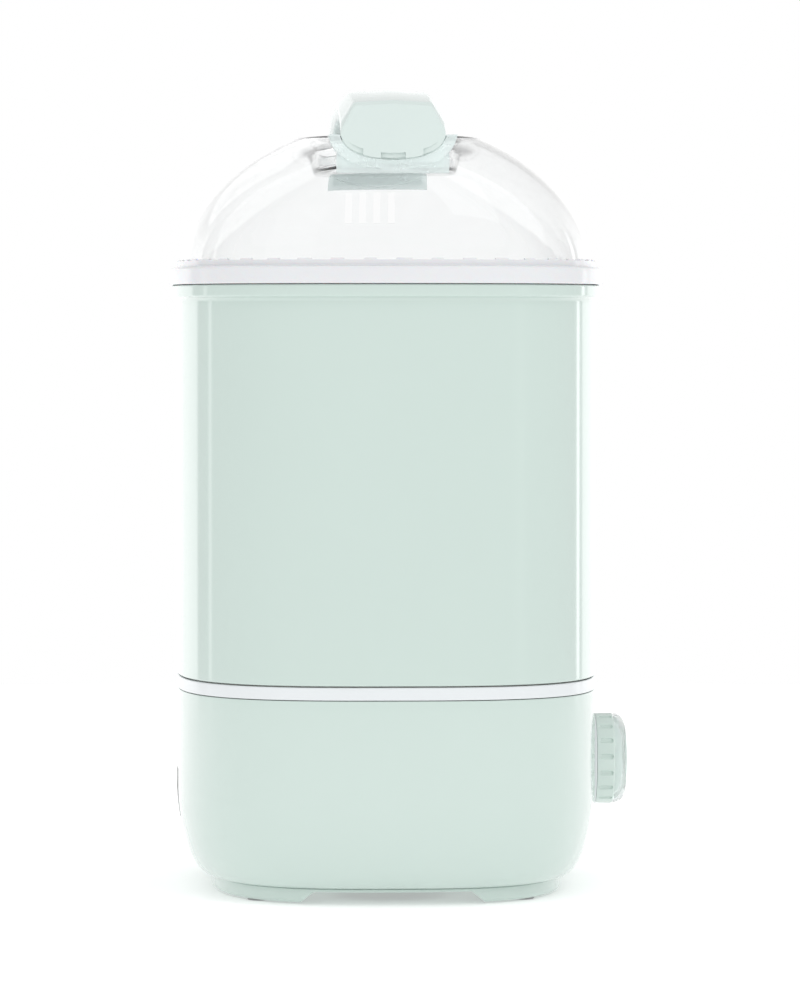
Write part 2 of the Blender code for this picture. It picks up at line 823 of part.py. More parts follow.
def make_heating_parts():
    centre = axis_point(PLATE_X, 0, 0)
    plate = [
        (0.0, DISH_FLOOR),
        (DISH_RADIUS - DISH_SLOPE, DISH_FLOOR),
        (DISH_RADIUS, PLATE_TOP),
        (PLATE_RADIUS, PLATE_TOP),
        (PLATE_RADIUS, PLATE_TOP - PLATE_THICKNESS),
        (DISH_RADIUS + PLATE_THICKNESS, PLATE_TOP - PLATE_THICKNESS),
        (DISH_RADIUS - DISH_SLOPE + PLATE_THICKNESS, DISH_UNDERSIDE),
        (0.0, DISH_UNDERSIDE),
    ]
    turned("heating_plate", plate, centre, COATED, ROUND_SEGMENTS)
    seal_top = DECK_BOTTOM - GAP
    seal_inner = WELL_RADIUS + SEAL_CLEARANCE
    ring_piece("plate_seal", seal_inner, seal_inner + SEAL_WIDTH, seal_top - SEAL_HEIGHT, seal_top, SILICONE)
    clamp_top = PLATE_TOP - PLATE_THICKNESS - GAP
    ring_piece("plate_clamp", WELL_RADIUS, CLAMP_RADIUS, clamp_top - CLAMP_HEIGHT, clamp_top, STEEL)
    element_z = DISH_UNDERSIDE - GAP - ELEMENT_TUBE
    arc = []
    for index in range(ELEMENT_BENDS + 1):
        angle = ELEMENT_OPENING / 2 + (2 * math.pi - ELEMENT_OPENING) * index / ELEMENT_BENDS
        across, along = ELEMENT_RADIUS * math.cos(angle), ELEMENT_RADIUS * math.sin(angle)
        arc.append(centre + Vector((across, along, element_z)))
    drop = Vector((0, 0, -TERMINAL_LENGTH))
    terminals = [arc[0] + drop, arc[-1] + drop]
    curve_tube("heating_element", [terminals[0], *arc, terminals[1]], ELEMENT_TUBE, ALUMINIUM)
    top = DISH_UNDERSIDE - GAP
    thermostat = [
        (0.0, top),
        (THERMOSTAT_RADIUS, top),
        (THERMOSTAT_RADIUS, top - THERMOSTAT_CAP_HEIGHT),
        (THERMOSTAT_NECK_RADIUS, top - THERMOSTAT_CAP_HEIGHT),
        (THERMOSTAT_NECK_RADIUS, top - THERMOSTAT_HEIGHT),
        (0.0, top - THERMOSTAT_HEIGHT),
    ]
    turned("thermostat", thermostat, centre, DARK, 20)
    fuse = centre + Vector((0, FUSE_Y, top - FUSE_RADIUS))
    half = Vector((FUSE_LENGTH / 2, 0, 0))
    rod("thermal_fuse", fuse - half, fuse + half, FUSE_RADIUS, 12, WARM_WHITE)


def ring_piece(name, inner, outer, low, high, finish):
    profile = [(inner, high), (outer, high), (outer, low), (inner, low)]
    turned(name, profile, axis_point(PLATE_X, 0, 0), finish, ROUND_SEGMENTS)


def make_fan():
    half = FAN_SIZE / 2
    low = axis_point(FAN_X - half, -half, FAN_BOTTOM)
    frame = box("fan_housing", low, axis_point(FAN_X + half, half, FAN_TOP), DARK)
    bore_low, bore_high = axis_point(FAN_X, 0, FAN_BOTTOM - CUT), axis_point(FAN_X, 0, FAN_TOP + CUT)
    boolean(frame, rod("fan_bore", bore_low, bore_high, FAN_BORE, ROUND_SEGMENTS))
    strut_top = FAN_BOTTOM + STRUT_HEIGHT
    spider = rod("fan_spider", axis_point(FAN_X, 0, FAN_BOTTOM), axis_point(FAN_X, 0, strut_top), FAN_HUB, 20)
    boolean(frame, spider, "UNION")
    for index, degrees in enumerate(STRUT_ANGLES):
        strut = box(
            "fan_strut_%d" % index,
            (STRUT_ROOT, -STRUT_WIDTH / 2, FAN_BOTTOM),
            (FAN_BORE + BITE, STRUT_WIDTH / 2, strut_top),
        )
        strut.rotation_euler = (0, 0, math.radians(degrees))
        strut.location = axis_point(FAN_X, 0, 0)
        boolean(frame, strut, "UNION")
    motor_bottom = strut_top + GAP
    foot = axis_point(FAN_X, 0, motor_bottom)
    motor = rod("fan_motor", foot, foot + Vector((0, 0, MOTOR_HEIGHT)), MOTOR_RADIUS, 20, STEEL)
    smooth(motor)
    make_impeller(motor_bottom)


def make_impeller(motor_bottom):
    """A cup over the motor with pitched blades, turned about the fan's upright axis."""
    skirt = motor_bottom + HUB_CLEARANCE
    roof = skirt + MOTOR_HEIGHT
    crown = roof + FAN_HUB_WALL
    profile = [
        (0.0, crown),
        (FAN_HUB, crown),
        (FAN_HUB, skirt),
        (FAN_HUB - FAN_HUB_WALL, skirt),
        (FAN_HUB - FAN_HUB_WALL, roof),
        (0.0, roof),
    ]
    place = axis_point(FAN_X, 0, 0)
    impeller = turned("fan_impeller", profile, place, DARK, 24)
    tip = FAN_BORE - BLADE_TIP_CLEARANCE
    root = FAN_HUB - FAN_HUB_WALL / 2
    middle = (skirt + crown) / 2

    def blades(bm):
        for index in range(FAN_BLADES):
            turn = Matrix.Rotation(2 * math.pi * index / FAN_BLADES, 4, "Z")
            tilt = Matrix.Rotation(BLADE_PITCH, 4, "X")
            size = Matrix.Diagonal((tip - root, BLADE_THICKNESS, BLADE_HEIGHT, 1.0))
            reach = Matrix.Translation(((tip + root) / 2, 0, middle))
            bmesh.ops.create_cube(bm, size=1.0, matrix=turn @ reach @ tilt @ size)

    blade_set = object_from("impeller_blades", blades)
    blade_set.location = place
    boolean(impeller, blade_set, "UNION")
    carry("fan_axis", place, [impeller, blade_set])


def fan_box(name, half, low_z, high_z, finish=None):
    """A square upright box about the fan's axis."""
    return box(name, axis_point(FAN_X - half, -half, low_z), axis_point(FAN_X + half, half, high_z), finish)


def make_air_path():
    outer = FAN_SIZE / 2 + DUCT_MARGIN
    inner = outer - DUCT_WALL
    low_z, high_z = FAN_TOP + GAP, DECK_BOTTOM - GAP
    duct = fan_box("air_duct", outer, low_z, high_z, WHITE)
    boolean(duct, fan_box("duct_bore", inner, low_z - CUT, high_z + CUT))
    half = inner - GAP
    base = low_z + HEATER_RISE
    heater = fan_box("air_heater", half, base, base + HEATER_HEIGHT, ALUMINIUM)
    reach = half - HEATER_FRAME
    pitch = 2 * reach / HEATER_SLOTS
    slots = []
    for index in range(HEATER_SLOTS):
        x = FAN_X + (index - (HEATER_SLOTS - 1) / 2) * pitch
        low = axis_point(x - HEATER_SLOT / 2, -reach, base - CUT)
        slots.append((low, axis_point(x + HEATER_SLOT / 2, reach, base + HEATER_HEIGHT + CUT)))
    boolean(heater, boxes("heater_slots", slots))
    make_outlet_grille()


def make_outlet_grille():
    """A low hood over the deck's air outlet, with slots in its top and two sides."""
    half = OUTLET_SIZE / 2 + GRILLE_MARGIN
    inner = half - GRILLE_WALL
    low_z, high_z = DECK_TOP + GAP, DECK_TOP + GRILLE_HEIGHT
    hood = fan_box("air_outlet_grille", half, low_z, high_z, WHITE)
    boolean(hood, fan_box("grille_hollow", inner, low_z - CUT, high_z - GRILLE_WALL))
    reach, past = GRILLE_SLOT_LENGTH / 2, half + CUT
    side_low, side_high = low_z + GRILLE_SIDE_SLOT_LOW, low_z + GRILLE_SIDE_SLOT_HIGH
    slots = []
    for index in range(GRILLE_SLOTS):
        y = (index - (GRILLE_SLOTS - 1) / 2) * GRILLE_PITCH
        near, far = y - GRILLE_SLOT / 2, y + GRILLE_SLOT / 2
        top_low = axis_point(FAN_X - reach, near, high_z - GRILLE_WALL - BITE)
        slots.append((top_low, axis_point(FAN_X + reach, far, high_z + CUT)))
        left_low = axis_point(FAN_X - past, near, side_low)
        slots.append((left_low, axis_point(FAN_X - inner + BITE, far, side_high)))
        right_low = axis_point(FAN_X + inner - BITE, near, side_low)
        slots.append((right_low, axis_point(FAN_X + past, far, side_high)))
    boolean(hood, boxes("grille_slots", slots))


def make_intake():
    panel = filter_panel_limits()
    cover = skin_piece("filter_cover", *panel, 1, MINT)
    slots = []
    half = FILTER_WIDTH / 2 - FILTER_COVER_MARGIN
    pitch = (FILTER_HEIGHT - FILTER_COVER_MARGIN) / FILTER_COVER_SLOTS
    for index in range(FILTER_COVER_SLOTS):
        z = FILTER_Z + (index - (FILTER_COVER_SLOTS - 1) / 2) * pitch
        low = axis_point(FILTER_X - half, BODY_HALF_Y / 2, z - FILTER_COVER_SLOT / 2)
        slots.append((low, axis_point(FILTER_X + half, 2 * BODY_HALF_Y, z + FILTER_COVER_SLOT / 2)))
    boolean(cover, boxes("cover_slots", slots))
    back = filter_back()
    front = back - FILTER_DEPTH
    pad = filter_box("hepa_filter", 0.0, front, back, PAPER)
    holder = filter_box("filter_holder", FILTER_FRAME - 2 * GAP, front - FILTER_BACK_WALL, back, WHITE)
    boolean(holder, filter_box("filter_pocket", GAP, front - GAP, back + CUT))
    boolean(holder, filter_box("filter_throat", -FILTER_LIP, front - CUT, back))
    carry("filter_slide_place", axis_point(FILTER_X, back, FILTER_Z), [pad])


def filter_box(name, margin, front, back, finish=None):
    """A box as large as the filter pad and a margin on each side, between two distances from the axis."""
    half_width, half_height = FILTER_WIDTH / 2 + margin, FILTER_HEIGHT / 2 + margin
    low = axis_point(FILTER_X - half_width, front, FILTER_Z - half_height)
    return box(name, low, axis_point(FILTER_X + half_width, back, FILTER_Z + half_height), finish)


def make_power_inlet():
    face = BODY_HALF_Y - INLET_SINK
    half_w, half_h = INLET_WIDTH / 2, INLET_HEIGHT / 2
    inlet = box(
        "power_inlet",
        axis_point(INLET_X - half_w, face - INLET_FLANGE, INLET_Z - half_h),
        axis_point(INLET_X + half_w, face, INLET_Z + half_h),
        DARK,
    )
    body_w, body_h = half_w - INLET_BODY_MARGIN, half_h - INLET_BODY_MARGIN
    shell = box(
        "inlet_body",
        axis_point(INLET_X - body_w, face - INLET_DEPTH, INLET_Z - body_h),
        axis_point(INLET_X + body_w, face - INLET_FLANGE + BITE, INLET_Z + body_h),
    )
    boolean(inlet, shell, "UNION")
    socket = box(
        "inlet_socket",
        axis_point(INLET_X - SOCKET_WIDTH / 2, face - SOCKET_DEPTH, INLET_Z - SOCKET_HEIGHT / 2),
        axis_point(INLET_X + SOCKET_WIDTH / 2, face + CUT, INLET_Z + SOCKET_HEIGHT / 2),
    )
    boolean(inlet, socket)
    pin_low, pin_high = face - SOCKET_DEPTH - BITE, face - SOCKET_DEPTH + INLET_PIN_LENGTH
    places = (INLET_X - INLET_PIN_SPACING / 2, INLET_X + INLET_PIN_SPACING / 2)
    pins = rods(
        "inlet_pins",
        [(axis_point(x, pin_low, INLET_Z), axis_point(x, pin_high, INLET_Z)) for x in places],
        INLET_PIN_RADIUS,
        8,
    )
    boolean(inlet, pins, "UNION")


def make_boards():
    board_y = -(BODY_HALF_Y - WALL - GAP - ENCODER_STANDOFF - ENCODER_DEPTH - GAP)
    half_w = CONTROL_BOARD_WIDTH / 2
    half_h = CONTROL_BOARD_HEIGHT / 2
    box(
        "control_board",
        axis_point(-half_w, board_y, KNOB_Z - half_h),
        axis_point(half_w, board_y + BOARD_THICKNESS, KNOB_Z + half_h),
        BOARD,
    )
    half = ENCODER_SIZE / 2
    front = board_y - GAP - ENCODER_DEPTH
    encoder = box(
        "rotary_encoder",
        axis_point(-half, front, KNOB_Z - half),
        axis_point(half, board_y - GAP, KNOB_Z + half),
        DARK,
    )
    bushing_end = axis_point(0, -BODY_HALF_Y, KNOB_Z)
    bushing = rod("encoder_bushing", axis_point(0, front + BITE, KNOB_Z), bushing_end, BUSHING_RADIUS, 20)
    boolean(encoder, bushing, "UNION")
    bore = rod(
        "encoder_bore",
        axis_point(0, front + ENCODER_BACK_WALL, KNOB_Z),
        axis_point(0, -2 * BODY_HALF_Y, KNOB_Z),
        SHAFT_RADIUS + SHAFT_CLEARANCE,
        16,
    )
    boolean(encoder, bore)
    half_w, half_d = POWER_BOARD_WIDTH / 2, POWER_BOARD_DEPTH / 2
    top = POWER_BOARD_Z + BOARD_THICKNESS
    board = box(
        "power_board",
        axis_point(POWER_BOARD_X - half_w, -half_d, POWER_BOARD_Z),
        axis_point(POWER_BOARD_X + half_w, half_d, top),
        BOARD,
    )
    pairs = []
    for low, high, height in DEVICES:
        corner = axis_point(POWER_BOARD_X + low[0], low[1], top - BITE)
        pairs.append((corner, axis_point(POWER_BOARD_X + high[0], high[1], top + height)))
    boolean(board, boxes("board_devices", pairs), "UNION")
    return front + ENCODER_BACK_WALL - GAP


# ---------------------------------------------------------------- knob


def make_knob(shaft_back):
    """The knob group turns about its axis, which runs along Y through the front wall."""
    face = -BODY_HALF_Y
    skin_piece("indicator_lens", *lens_limits(), -1, LENS)
    place = axis_point(0, face, KNOB_Z)
    ring = [
        (BUSHING_RADIUS + BUSHING_CLEARANCE, ESCUTCHEON_THICKNESS + GAP),
        (ESCUTCHEON_RADIUS - ESCUTCHEON_CHAMFER, ESCUTCHEON_THICKNESS + GAP),
        (ESCUTCHEON_RADIUS, ESCUTCHEON_THICKNESS + GAP - ESCUTCHEON_CHAMFER),
        (ESCUTCHEON_RADIUS, GAP),
        (BUSHING_RADIUS + BUSHING_CLEARANCE, GAP),
    ]
    turned("knob_escutcheon", ring, place, WHITE, ROUND_SEGMENTS, "-Y")
    start = ESCUTCHEON_THICKNESS + 2 * GAP
    grip = loft("knob_grip", knob_rings(start), False, MINT)
    grip.location = place
    bore = rod("knob_bore", (0, CUT, 0), (0, -start - SHAFT_DEPTH_IN_KNOB, 0), SHAFT_RADIUS + GAP, 16)
    bore.location = place
    boolean(grip, bore)
    bezel = [
        (KNOB_CAP_RADIUS + GAP, KNOB_FRONT - KNOB_CAP_DROP),
        *reversed(knob_shoulder(0.0)),
        *knob_shoulder(KNOB_BEZEL_WALL),
        (KNOB_CAP_RADIUS + GAP, KNOB_FRONT - KNOB_CAP_DROP - KNOB_BEZEL_WALL),
    ]
    rim = turned("knob_bezel", bezel, place, WHITE, ROUND_SEGMENTS, "-Y")
    crown = [
        (0.0, KNOB_FRONT),
        (0.6 * KNOB_CAP_RADIUS, KNOB_FRONT - KNOB_CAP_DROP / 3),
        (KNOB_CAP_RADIUS, KNOB_FRONT - KNOB_CAP_DROP),
        (KNOB_CAP_RADIUS, KNOB_FRONT - KNOB_CROWN),
        (0.0, KNOB_FRONT - KNOB_CROWN),
    ]
    cap = turned("knob_cap", crown, place, MINT, ROUND_SEGMENTS, "-Y")
    shaft_start = axis_point(0, shaft_back, KNOB_Z)
    shaft_end = place + Vector((0, -start - SHAFT_DEPTH_IN_KNOB + GAP, 0))
    shaft = rod("encoder_shaft", shaft_start, shaft_end, SHAFT_RADIUS, 16, STEEL)
    smooth(shaft)
    carry("knob_axis", place, [grip, bore, rim, cap, shaft])


def knob_shoulder(inset):
    """The rounded front edge of the knob, from its side to its front, at a depth into the bezel's wall."""
    points = []
    for degrees in KNOB_SHOULDER_ANGLES:
        angle = math.radians(degrees)
        radius = KNOB_CAP_RADIUS + (KNOB_RADIUS - KNOB_CAP_RADIUS - inset) * math.cos(angle)
        depth = KNOB_FRONT - KNOB_BEZEL + (KNOB_BEZEL - KNOB_CAP_DROP - inset) * math.sin(angle)
        points.append((radius, depth))
    return points


def knob_rings(start):
    """Sections of the knob's grip along its axis: ribbed along its side, then round under the bezel."""
    side = KNOB_FRONT - KNOB_BEZEL - GAP
    levels = [
        (start, KNOB_RADIUS - KNOB_FLANGE_STEP, 0.0),
        (start + KNOB_FLANGE_STEP, KNOB_RADIUS, 0.0),
        (start + 2 * KNOB_FLANGE_STEP, KNOB_RADIUS, KNOB_GROOVE),
        (side - 2 * KNOB_FLANGE_STEP, KNOB_RADIUS, KNOB_GROOVE),
        (side - KNOB_FLANGE_STEP, KNOB_RADIUS, 0.0),
        (side, KNOB_RADIUS, 0.0),
        (side, KNOB_RADIUS - KNOB_BEZEL_WALL - 2 * GAP, 0.0),
    ]
    for radius, depth in knob_shoulder(KNOB_BEZEL_WALL + GAP):
        levels.append((min(depth, KNOB_FRONT - KNOB_CROWN - GAP), radius - GAP, 0.0))
    rings = []
    for depth, radius, groove in levels:
        ring = []
        for index in range(2 * KNOB_RIBS):
            angle = math.pi * index / KNOB_RIBS
            reach = radius - (groove if index % 2 else 0.0)
            ring.append(Vector((reach * math.cos(angle), -depth, reach * math.sin(angle))))
        rings.append(ring)
    return rings


# ---------------------------------------------------------------- sleeve, rack and tray


def make_body_sleeve():
    collar_bottom = SLEEVE_TOP - COLLAR_HEIGHT
    steps = [
        (0.0, SLEEVE_BOTTOM),
        (0.0, collar_bottom - COLLAR_SWEEP),
        (COLLAR_EDGE, collar_bottom - COLLAR_SWEEP / 6),
        (COLLAR_OUT, collar_bottom),
        (COLLAR_OUT, SLEEVE_TOP - COLLAR_EDGE),
        (COLLAR_OUT - COLLAR_EDGE, SLEEVE_TOP),
        (-WALL, SLEEVE_TOP),
        (-WALL, LEDGE_TOP),
        (-WALL - LEDGE_WIDTH, LEDGE_TOP),
        (-WALL - LEDGE_WIDTH, LEDGE_TOP - LEDGE_HEIGHT),
        (-WALL, LEDGE_TOP - LEDGE_HEIGHT - LEDGE_WIDTH),
        (-WALL, SLEEVE_BOTTOM),
    ]
    return body_loft("body_sleeve", steps, True, MINT)


def make_tray_slots(low_z, high_z):
    """Parallel slots on both sides of the tray's spine, shorter towards its ends to follow the outline."""
    pairs = []
    for index in range(TRAY_SLOTS):
        x = (index - (TRAY_SLOTS - 1) / 2) * SLOT_PITCH
        share = abs(x) / (BODY_HALF_X - TRAY_SLOT_MARGIN)
        reach = TRAY_SLOT_REACH * (1 - share**PLAN_POWER) ** (1 / PLAN_POWER)
        low_x, high_x = x - SLOT_WIDTH / 2, x + SLOT_WIDTH / 2
        pairs.append((axis_point(low_x, -reach, low_z), axis_point(high_x, -TRAY_SPINE / 2, high_z)))
        pairs.append((axis_point(low_x, TRAY_SPINE / 2, low_z), axis_point(high_x, reach, high_z)))
    return boxes("tray_slots", pairs)


def make_bottle_rack():
    floor = DECK_TOP + RACK_FLOOR_HEIGHT
    inner = RACK_INSET + RACK_WALL
    steps = [
        (-RACK_INSET, floor),
        (-RACK_INSET, floor + RACK_WALL_HEIGHT),
        (-inner, floor + RACK_WALL_HEIGHT),
        (-inner, floor + RACK_FLOOR),
    ]
    rack = body_loft("bottle_rack", steps, False, WHITE)
    slots = []
    columns = 2 * RACK_PEGS_X - 2
    for index in range(columns):
        x = (index - (columns - 1) / 2) * RACK_PEG_SPACING_X / 2
        low_x, high_x = x - RACK_SLOT_WIDTH / 2, x + RACK_SLOT_WIDTH / 2
        for low_y, high_y in RACK_SLOT_ROWS:
            corner = axis_point(low_x, low_y, floor - CUT)
            slots.append((corner, axis_point(high_x, high_y, floor + RACK_FLOOR + CUT)))
    boolean(rack, boxes("rack_slots", slots))

    def pegs(bm):
        for column in range(RACK_PEGS_X):
            x = (column - (RACK_PEGS_X - 1) / 2) * RACK_PEG_SPACING_X
            for y in (-RACK_PEG_SPACING_Y / 2, RACK_PEG_SPACING_Y / 2):
                start = axis_point(x, y, floor + RACK_FLOOR / 2)
                end = start + Vector((0, 0, RACK_PEG_HEIGHT))
                add_rod(bm, start, end, RACK_PEG_RADIUS, 12, RACK_PEG_RADIUS / 2)

    boolean(rack, object_from("rack_pegs", pegs), "UNION")
    low_z, high_z = DECK_TOP + GAP, floor + RACK_FLOOR / 2
    corners = four_corners(RACK_FOOT_X, RACK_FOOT_Y)
    feet = rods(
        "rack_feet",
        [(axis_point(x, y, low_z), axis_point(x, y, high_z)) for x, y in corners],
        RACK_FOOT_RADIUS,
        12,
    )
    boolean(rack, feet, "UNION")
    return rack


def make_accessory_tray():
    seat = LEDGE_TOP + GAP
    flange = WALL + TRAY_CLEARANCE
    shoulder = flange + TRAY_FLANGE_WIDTH
    bottom = seat - TRAY_DEPTH
    steps = [
        (-shoulder - TRAY_TAPER, bottom),
        (-shoulder, seat),
        (-flange, seat),
        (-flange, seat + TRAY_FLANGE),
        (-shoulder - TRAY_WALL, seat + TRAY_FLANGE),
        (-shoulder - TRAY_TAPER - TRAY_WALL, bottom + TRAY_WALL),
    ]
    tray = body_loft("accessory_tray", steps, False, WHITE)
    boolean(tray, make_tray_slots(bottom - CUT, bottom + TRAY_WALL + CUT))
    return tray


# ---------------------------------------------------------------- lid


def make_lid_rim():
    skirt_top = LID_BOTTOM + RIM_SKIRT
    neck_top = skirt_top + RIM_NECK
    dome_seat = DOME_BASE - GAP
    locator_outer = WALL + LOCATOR_CLEARANCE
    locator_inner = locator_outer + LOCATOR_WALL
    locator_bottom = LID_BOTTOM - LOCATOR_DROP
    neck_inner = DOME_INSET - GAP
    steps = [
        (-locator_outer, LID_BOTTOM),
        (RIM_OUT, LID_BOTTOM),
        (RIM_OUT, skirt_top - RIM_EDGE),
        (RIM_OUT - RIM_EDGE, skirt_top),
        (-RIM_NECK_INSET, skirt_top + RIM_STEP),
        (-RIM_NECK_INSET, neck_top),
        (-neck_inner, neck_top),
        (-neck_inner, dome_seat),
        (-locator_inner, dome_seat),
        (-locator_inner, locator_bottom),
        (-locator_outer, locator_bottom),
    ]
    return body_loft("lid_rim", steps, True, WHITE)


def dome_half_sizes(rise, thickness):
    """The vault's half sizes at a rise above where it springs, at a depth into its wall."""
    share_x = max(0.0, rise) / (DOME_RISE_X - thickness)
    share_y = max(0.0, rise) / (DOME_RISE_Y - thickness)
    half_x = (DOME_HALF_X - thickness) * math.sqrt(1 - share_x**DOME_POWER_X)
    half_y = (DOME_HALF_Y - thickness) * math.sqrt(1 - share_y**DOME_POWER_Y)
    return half_x, half_y


def dome_levels(count, top):
    """Rises from zero to the top, closer together where the vault turns level."""
    return [top * math.sin(math.pi / 2 * index / (count - 1)) for index in range(count)]


def make_lid_dome():
    rings = [plan_ring(DOME_HALF_X, DOME_HALF_Y, DOME_BASE)]
    for rise in dome_levels(DOME_RINGS, DOME_RISE):
        rings.append(plan_ring(*dome_half_sizes(rise, 0.0), DOME_START + rise))
    floor = DOME_TOP - WELL_DEPTH
    rings.append(plan_ring(WELL_HALF_X, WELL_HALF_Y, DOME_TOP, WELL_POWER))
    rings.append(plan_ring(WELL_HALF_X - WELL_SLOPE, WELL_HALF_Y - WELL_SLOPE, floor, WELL_POWER))
    outer = list(reversed(rings))
    wall = DOME_WALL
    inner = [plan_ring(DOME_HALF_X - wall, DOME_HALF_Y - wall, DOME_BASE)]
    for rise in dome_levels(DOME_RINGS - 2, DOME_RISE - wall):
        inner.append(plan_ring(*dome_half_sizes(rise, wall), DOME_START + rise))
    half_x, half_y = WELL_HALF_X + wall, WELL_HALF_Y + wall
    inner.append(plan_ring(half_x, half_y, DOME_TOP - wall, WELL_POWER))
    inner.append(plan_ring(half_x - WELL_SLOPE, half_y - WELL_SLOPE, floor - wall, WELL_POWER))
    dome = loft("lid_dome", outer + inner, False, CLEAR)
    add_handle_seats(dome)
    cut_vents(dome)
    return dome


def handle_section(share, grow=0.0):
    """The handle's outline in the YZ plane at a share of its half length, from the middle to an end."""
    bend = share**2
    crest = DOME_TOP + HANDLE_RISE
    top = crest - (HANDLE_RISE - HANDLE_END_RISE) * bend + grow
    settle = share**4
    depth = HANDLE_MIDDLE_DEPTH + (HANDLE_END_DEPTH - HANDLE_MIDDLE_DEPTH) * settle + 2 * grow
    flat = HANDLE_TOP_HALF + grow
    wide = HANDLE_WIDE_HALF + grow
    shoulder = (HANDLE_SHOULDER_WIDTH * wide, -HANDLE_SHOULDER_DEPTH * depth)
    waist = HANDLE_WAIST_DEPTH * depth
    points = [(-flat, 0.0), (0.0, 0.0), (flat, 0.0), shoulder, (wide, -waist)]
    for degrees in HANDLE_ARC_ANGLES:
        angle = math.radians(degrees)
        across = wide * math.cos(angle) ** HANDLE_ARC_POWER
        points.append((across, -waist - (depth - waist) * math.sin(angle)))
    points.append((0.0, -depth))
    mirrored = [(-y, z) for y, z in reversed(points[3:-1])]
    return [(y, top + z) for y, z in points + mirrored]


def handle_ring(x, share, grow=0.0, lean=0.0):
    outline = handle_section(share, grow)
    lowest = max(z for _, z in outline) - HANDLE_END_DEPTH
    slope = math.copysign(lean, x) / HANDLE_END_DEPTH
    return [axis_point(x - slope * (z - lowest), y, z) for y, z in outline]


def make_lid_handle():
    rings = []
    for index in range(-HANDLE_STATIONS // 2, HANDLE_STATIONS // 2 + 1):
        share = 2 * index / HANDLE_STATIONS
        # Stations crowd towards the ends, where the section changes fastest.
        eased = math.copysign(math.sin(abs(share) * math.pi / 2), share)
        lean = HANDLE_LEAN if abs(share) == 1 else 0.0
        rings.append(handle_ring(eased * HANDLE_HALF_LENGTH or 0.0, abs(eased), 0.0, lean))
    bar = loft("lid_handle", rings, False, MINT)
    legs = []
    leg_low, leg_high = leg_limits()
    for side in (-1, 1):
        near, far = sorted((side * leg_low, side * leg_high))
        bottom, top = leg_heights()
        legs.append((axis_point(near, -LEG_HALF_WIDTH, bottom), axis_point(far, LEG_HALF_WIDTH, top)))
    boolean(bar, boxes("handle_legs", legs), "UNION")
    return bar


def leg_limits():
    high = HANDLE_HALF_LENGTH - LEG_SETBACK
    return high - LEG_THICKNESS, high


def leg_heights():
    top = DOME_TOP + HANDLE_END_RISE - HANDLE_END_DEPTH / 2
    return top - LEG_DROP, top


def add_handle_seats(dome):
    """Each end of the vault gets a lipped cradle for the handle and a socket for its leg."""
    leg_low, leg_high = leg_limits()
    leg_bottom, _ = leg_heights()
    # The cut for the handle starts where the handle has risen clear of the vault's flat top.
    cut_start = SEAT_CUT_SHARE * HANDLE_HALF_LENGTH
    for side, label in ((-1, "left"), (1, "right")):
        start, end = HANDLE_HALF_LENGTH - SEAT_LENGTH, HANDLE_HALF_LENGTH - SEAT_END_INSET
        lip = [handle_ring(side * x, 1.0, SEAT_CLEARANCE + SEAT_LIP) for x in (start, end)]
        block = loft("seat_block_" + label, lip, False)
        boolean(dome, block, "UNION")
        half = LEG_HALF_WIDTH + GAP + SOCKET_WALL
        near, far = sorted((side * (leg_low - GAP - SOCKET_WALL), side * (leg_high + GAP + SOCKET_WALL)))
        socket = box(
            "socket_block_" + label,
            axis_point(near, -half, leg_bottom - GAP - SOCKET_WALL),
            axis_point(far, half, DOME_TOP - SOCKET_TOP_DROP),
        )
        boolean(dome, socket, "UNION")
        clear = [handle_ring(side * x, 1.0, SEAT_CLEARANCE) for x in (cut_start, end + 2 * CUT)]
        boolean(dome, loft("seat_cut_" + label, clear, False))
        near, far = sorted((side * cut_start, side * (end + 2 * CUT)))
        wide = HANDLE_WIDE_HALF + 2 * SEAT_LIP
        top_low, top_high = axis_point(near, -wide, DOME_TOP), axis_point(far, wide, 2 * DOME_TOP)
        boolean(dome, box("seat_top_" + label, top_low, top_high))
        near, far = sorted((side * (leg_low - GAP), side * (leg_high + GAP)))
        width = LEG_HALF_WIDTH + GAP
        slot_low, slot_high = axis_point(near, -width, leg_bottom - GAP), axis_point(far, width, 2 * DOME_TOP)
        boolean(dome, box("leg_slot_" + label, slot_low, slot_high))


def cut_vents(dome):
    low_z = DOME_START + VENT_RISE
    slots = []
    for index in range(VENT_COUNT):
        y = VENT_SHIFT + (index - (VENT_COUNT - 1) / 2) * VENT_PITCH
        low = axis_point(BODY_HALF_X - VENT_REACH, y - VENT_WIDTH / 2, low_z)
        slots.append((low, axis_point(BODY_HALF_X + VENT_REACH, y + VENT_WIDTH / 2, low_z + VENT_HEIGHT)))
    boolean(dome, boxes("vent_slots", slots))


# ---------------------------------------------------------------- the whole object

clear_scene()
PARTS = new_collection("Bottle steriliser")
CUTTERS = new_collection("Cutters")
CUTTERS.hide_render = True

MINT = material("Mint plastic", (0.63, 0.75, 0.69), 0.18)
WHITE = material("White plastic", (0.82, 0.84, 0.85), 0.25)
WARM_WHITE = material("Warm white plastic", (0.80, 0.80, 0.77), 0.35)
CLEAR = material("Clear plastic", (0.93, 0.95, 0.95), 0.05, alpha=0.25)
LENS = material("Indicator lens", (0.70, 0.74, 0.75), 0.15, alpha=0.6)
RUBBER = material("Foot rubber", (0.35, 0.36, 0.36), 0.7)
SILICONE = material("Seal silicone", (0.75, 0.75, 0.73), 0.55)
STEEL = material("Steel", (0.60, 0.60, 0.58), 0.35, metallic=1.0)
ALUMINIUM = material("Aluminium", (0.78, 0.78, 0.80), 0.35, metallic=1.0)
COATED = material("Non-stick coating", (0.20, 0.20, 0.21), 0.35, metallic=0.3)
DARK = material("Black plastic", (0.05, 0.05, 0.055), 0.5)
PAPER = material("Filter paper", (0.86, 0.86, 0.82), 0.9)
BOARD = material("Circuit board", (0.05, 0.25, 0.12), 0.5)

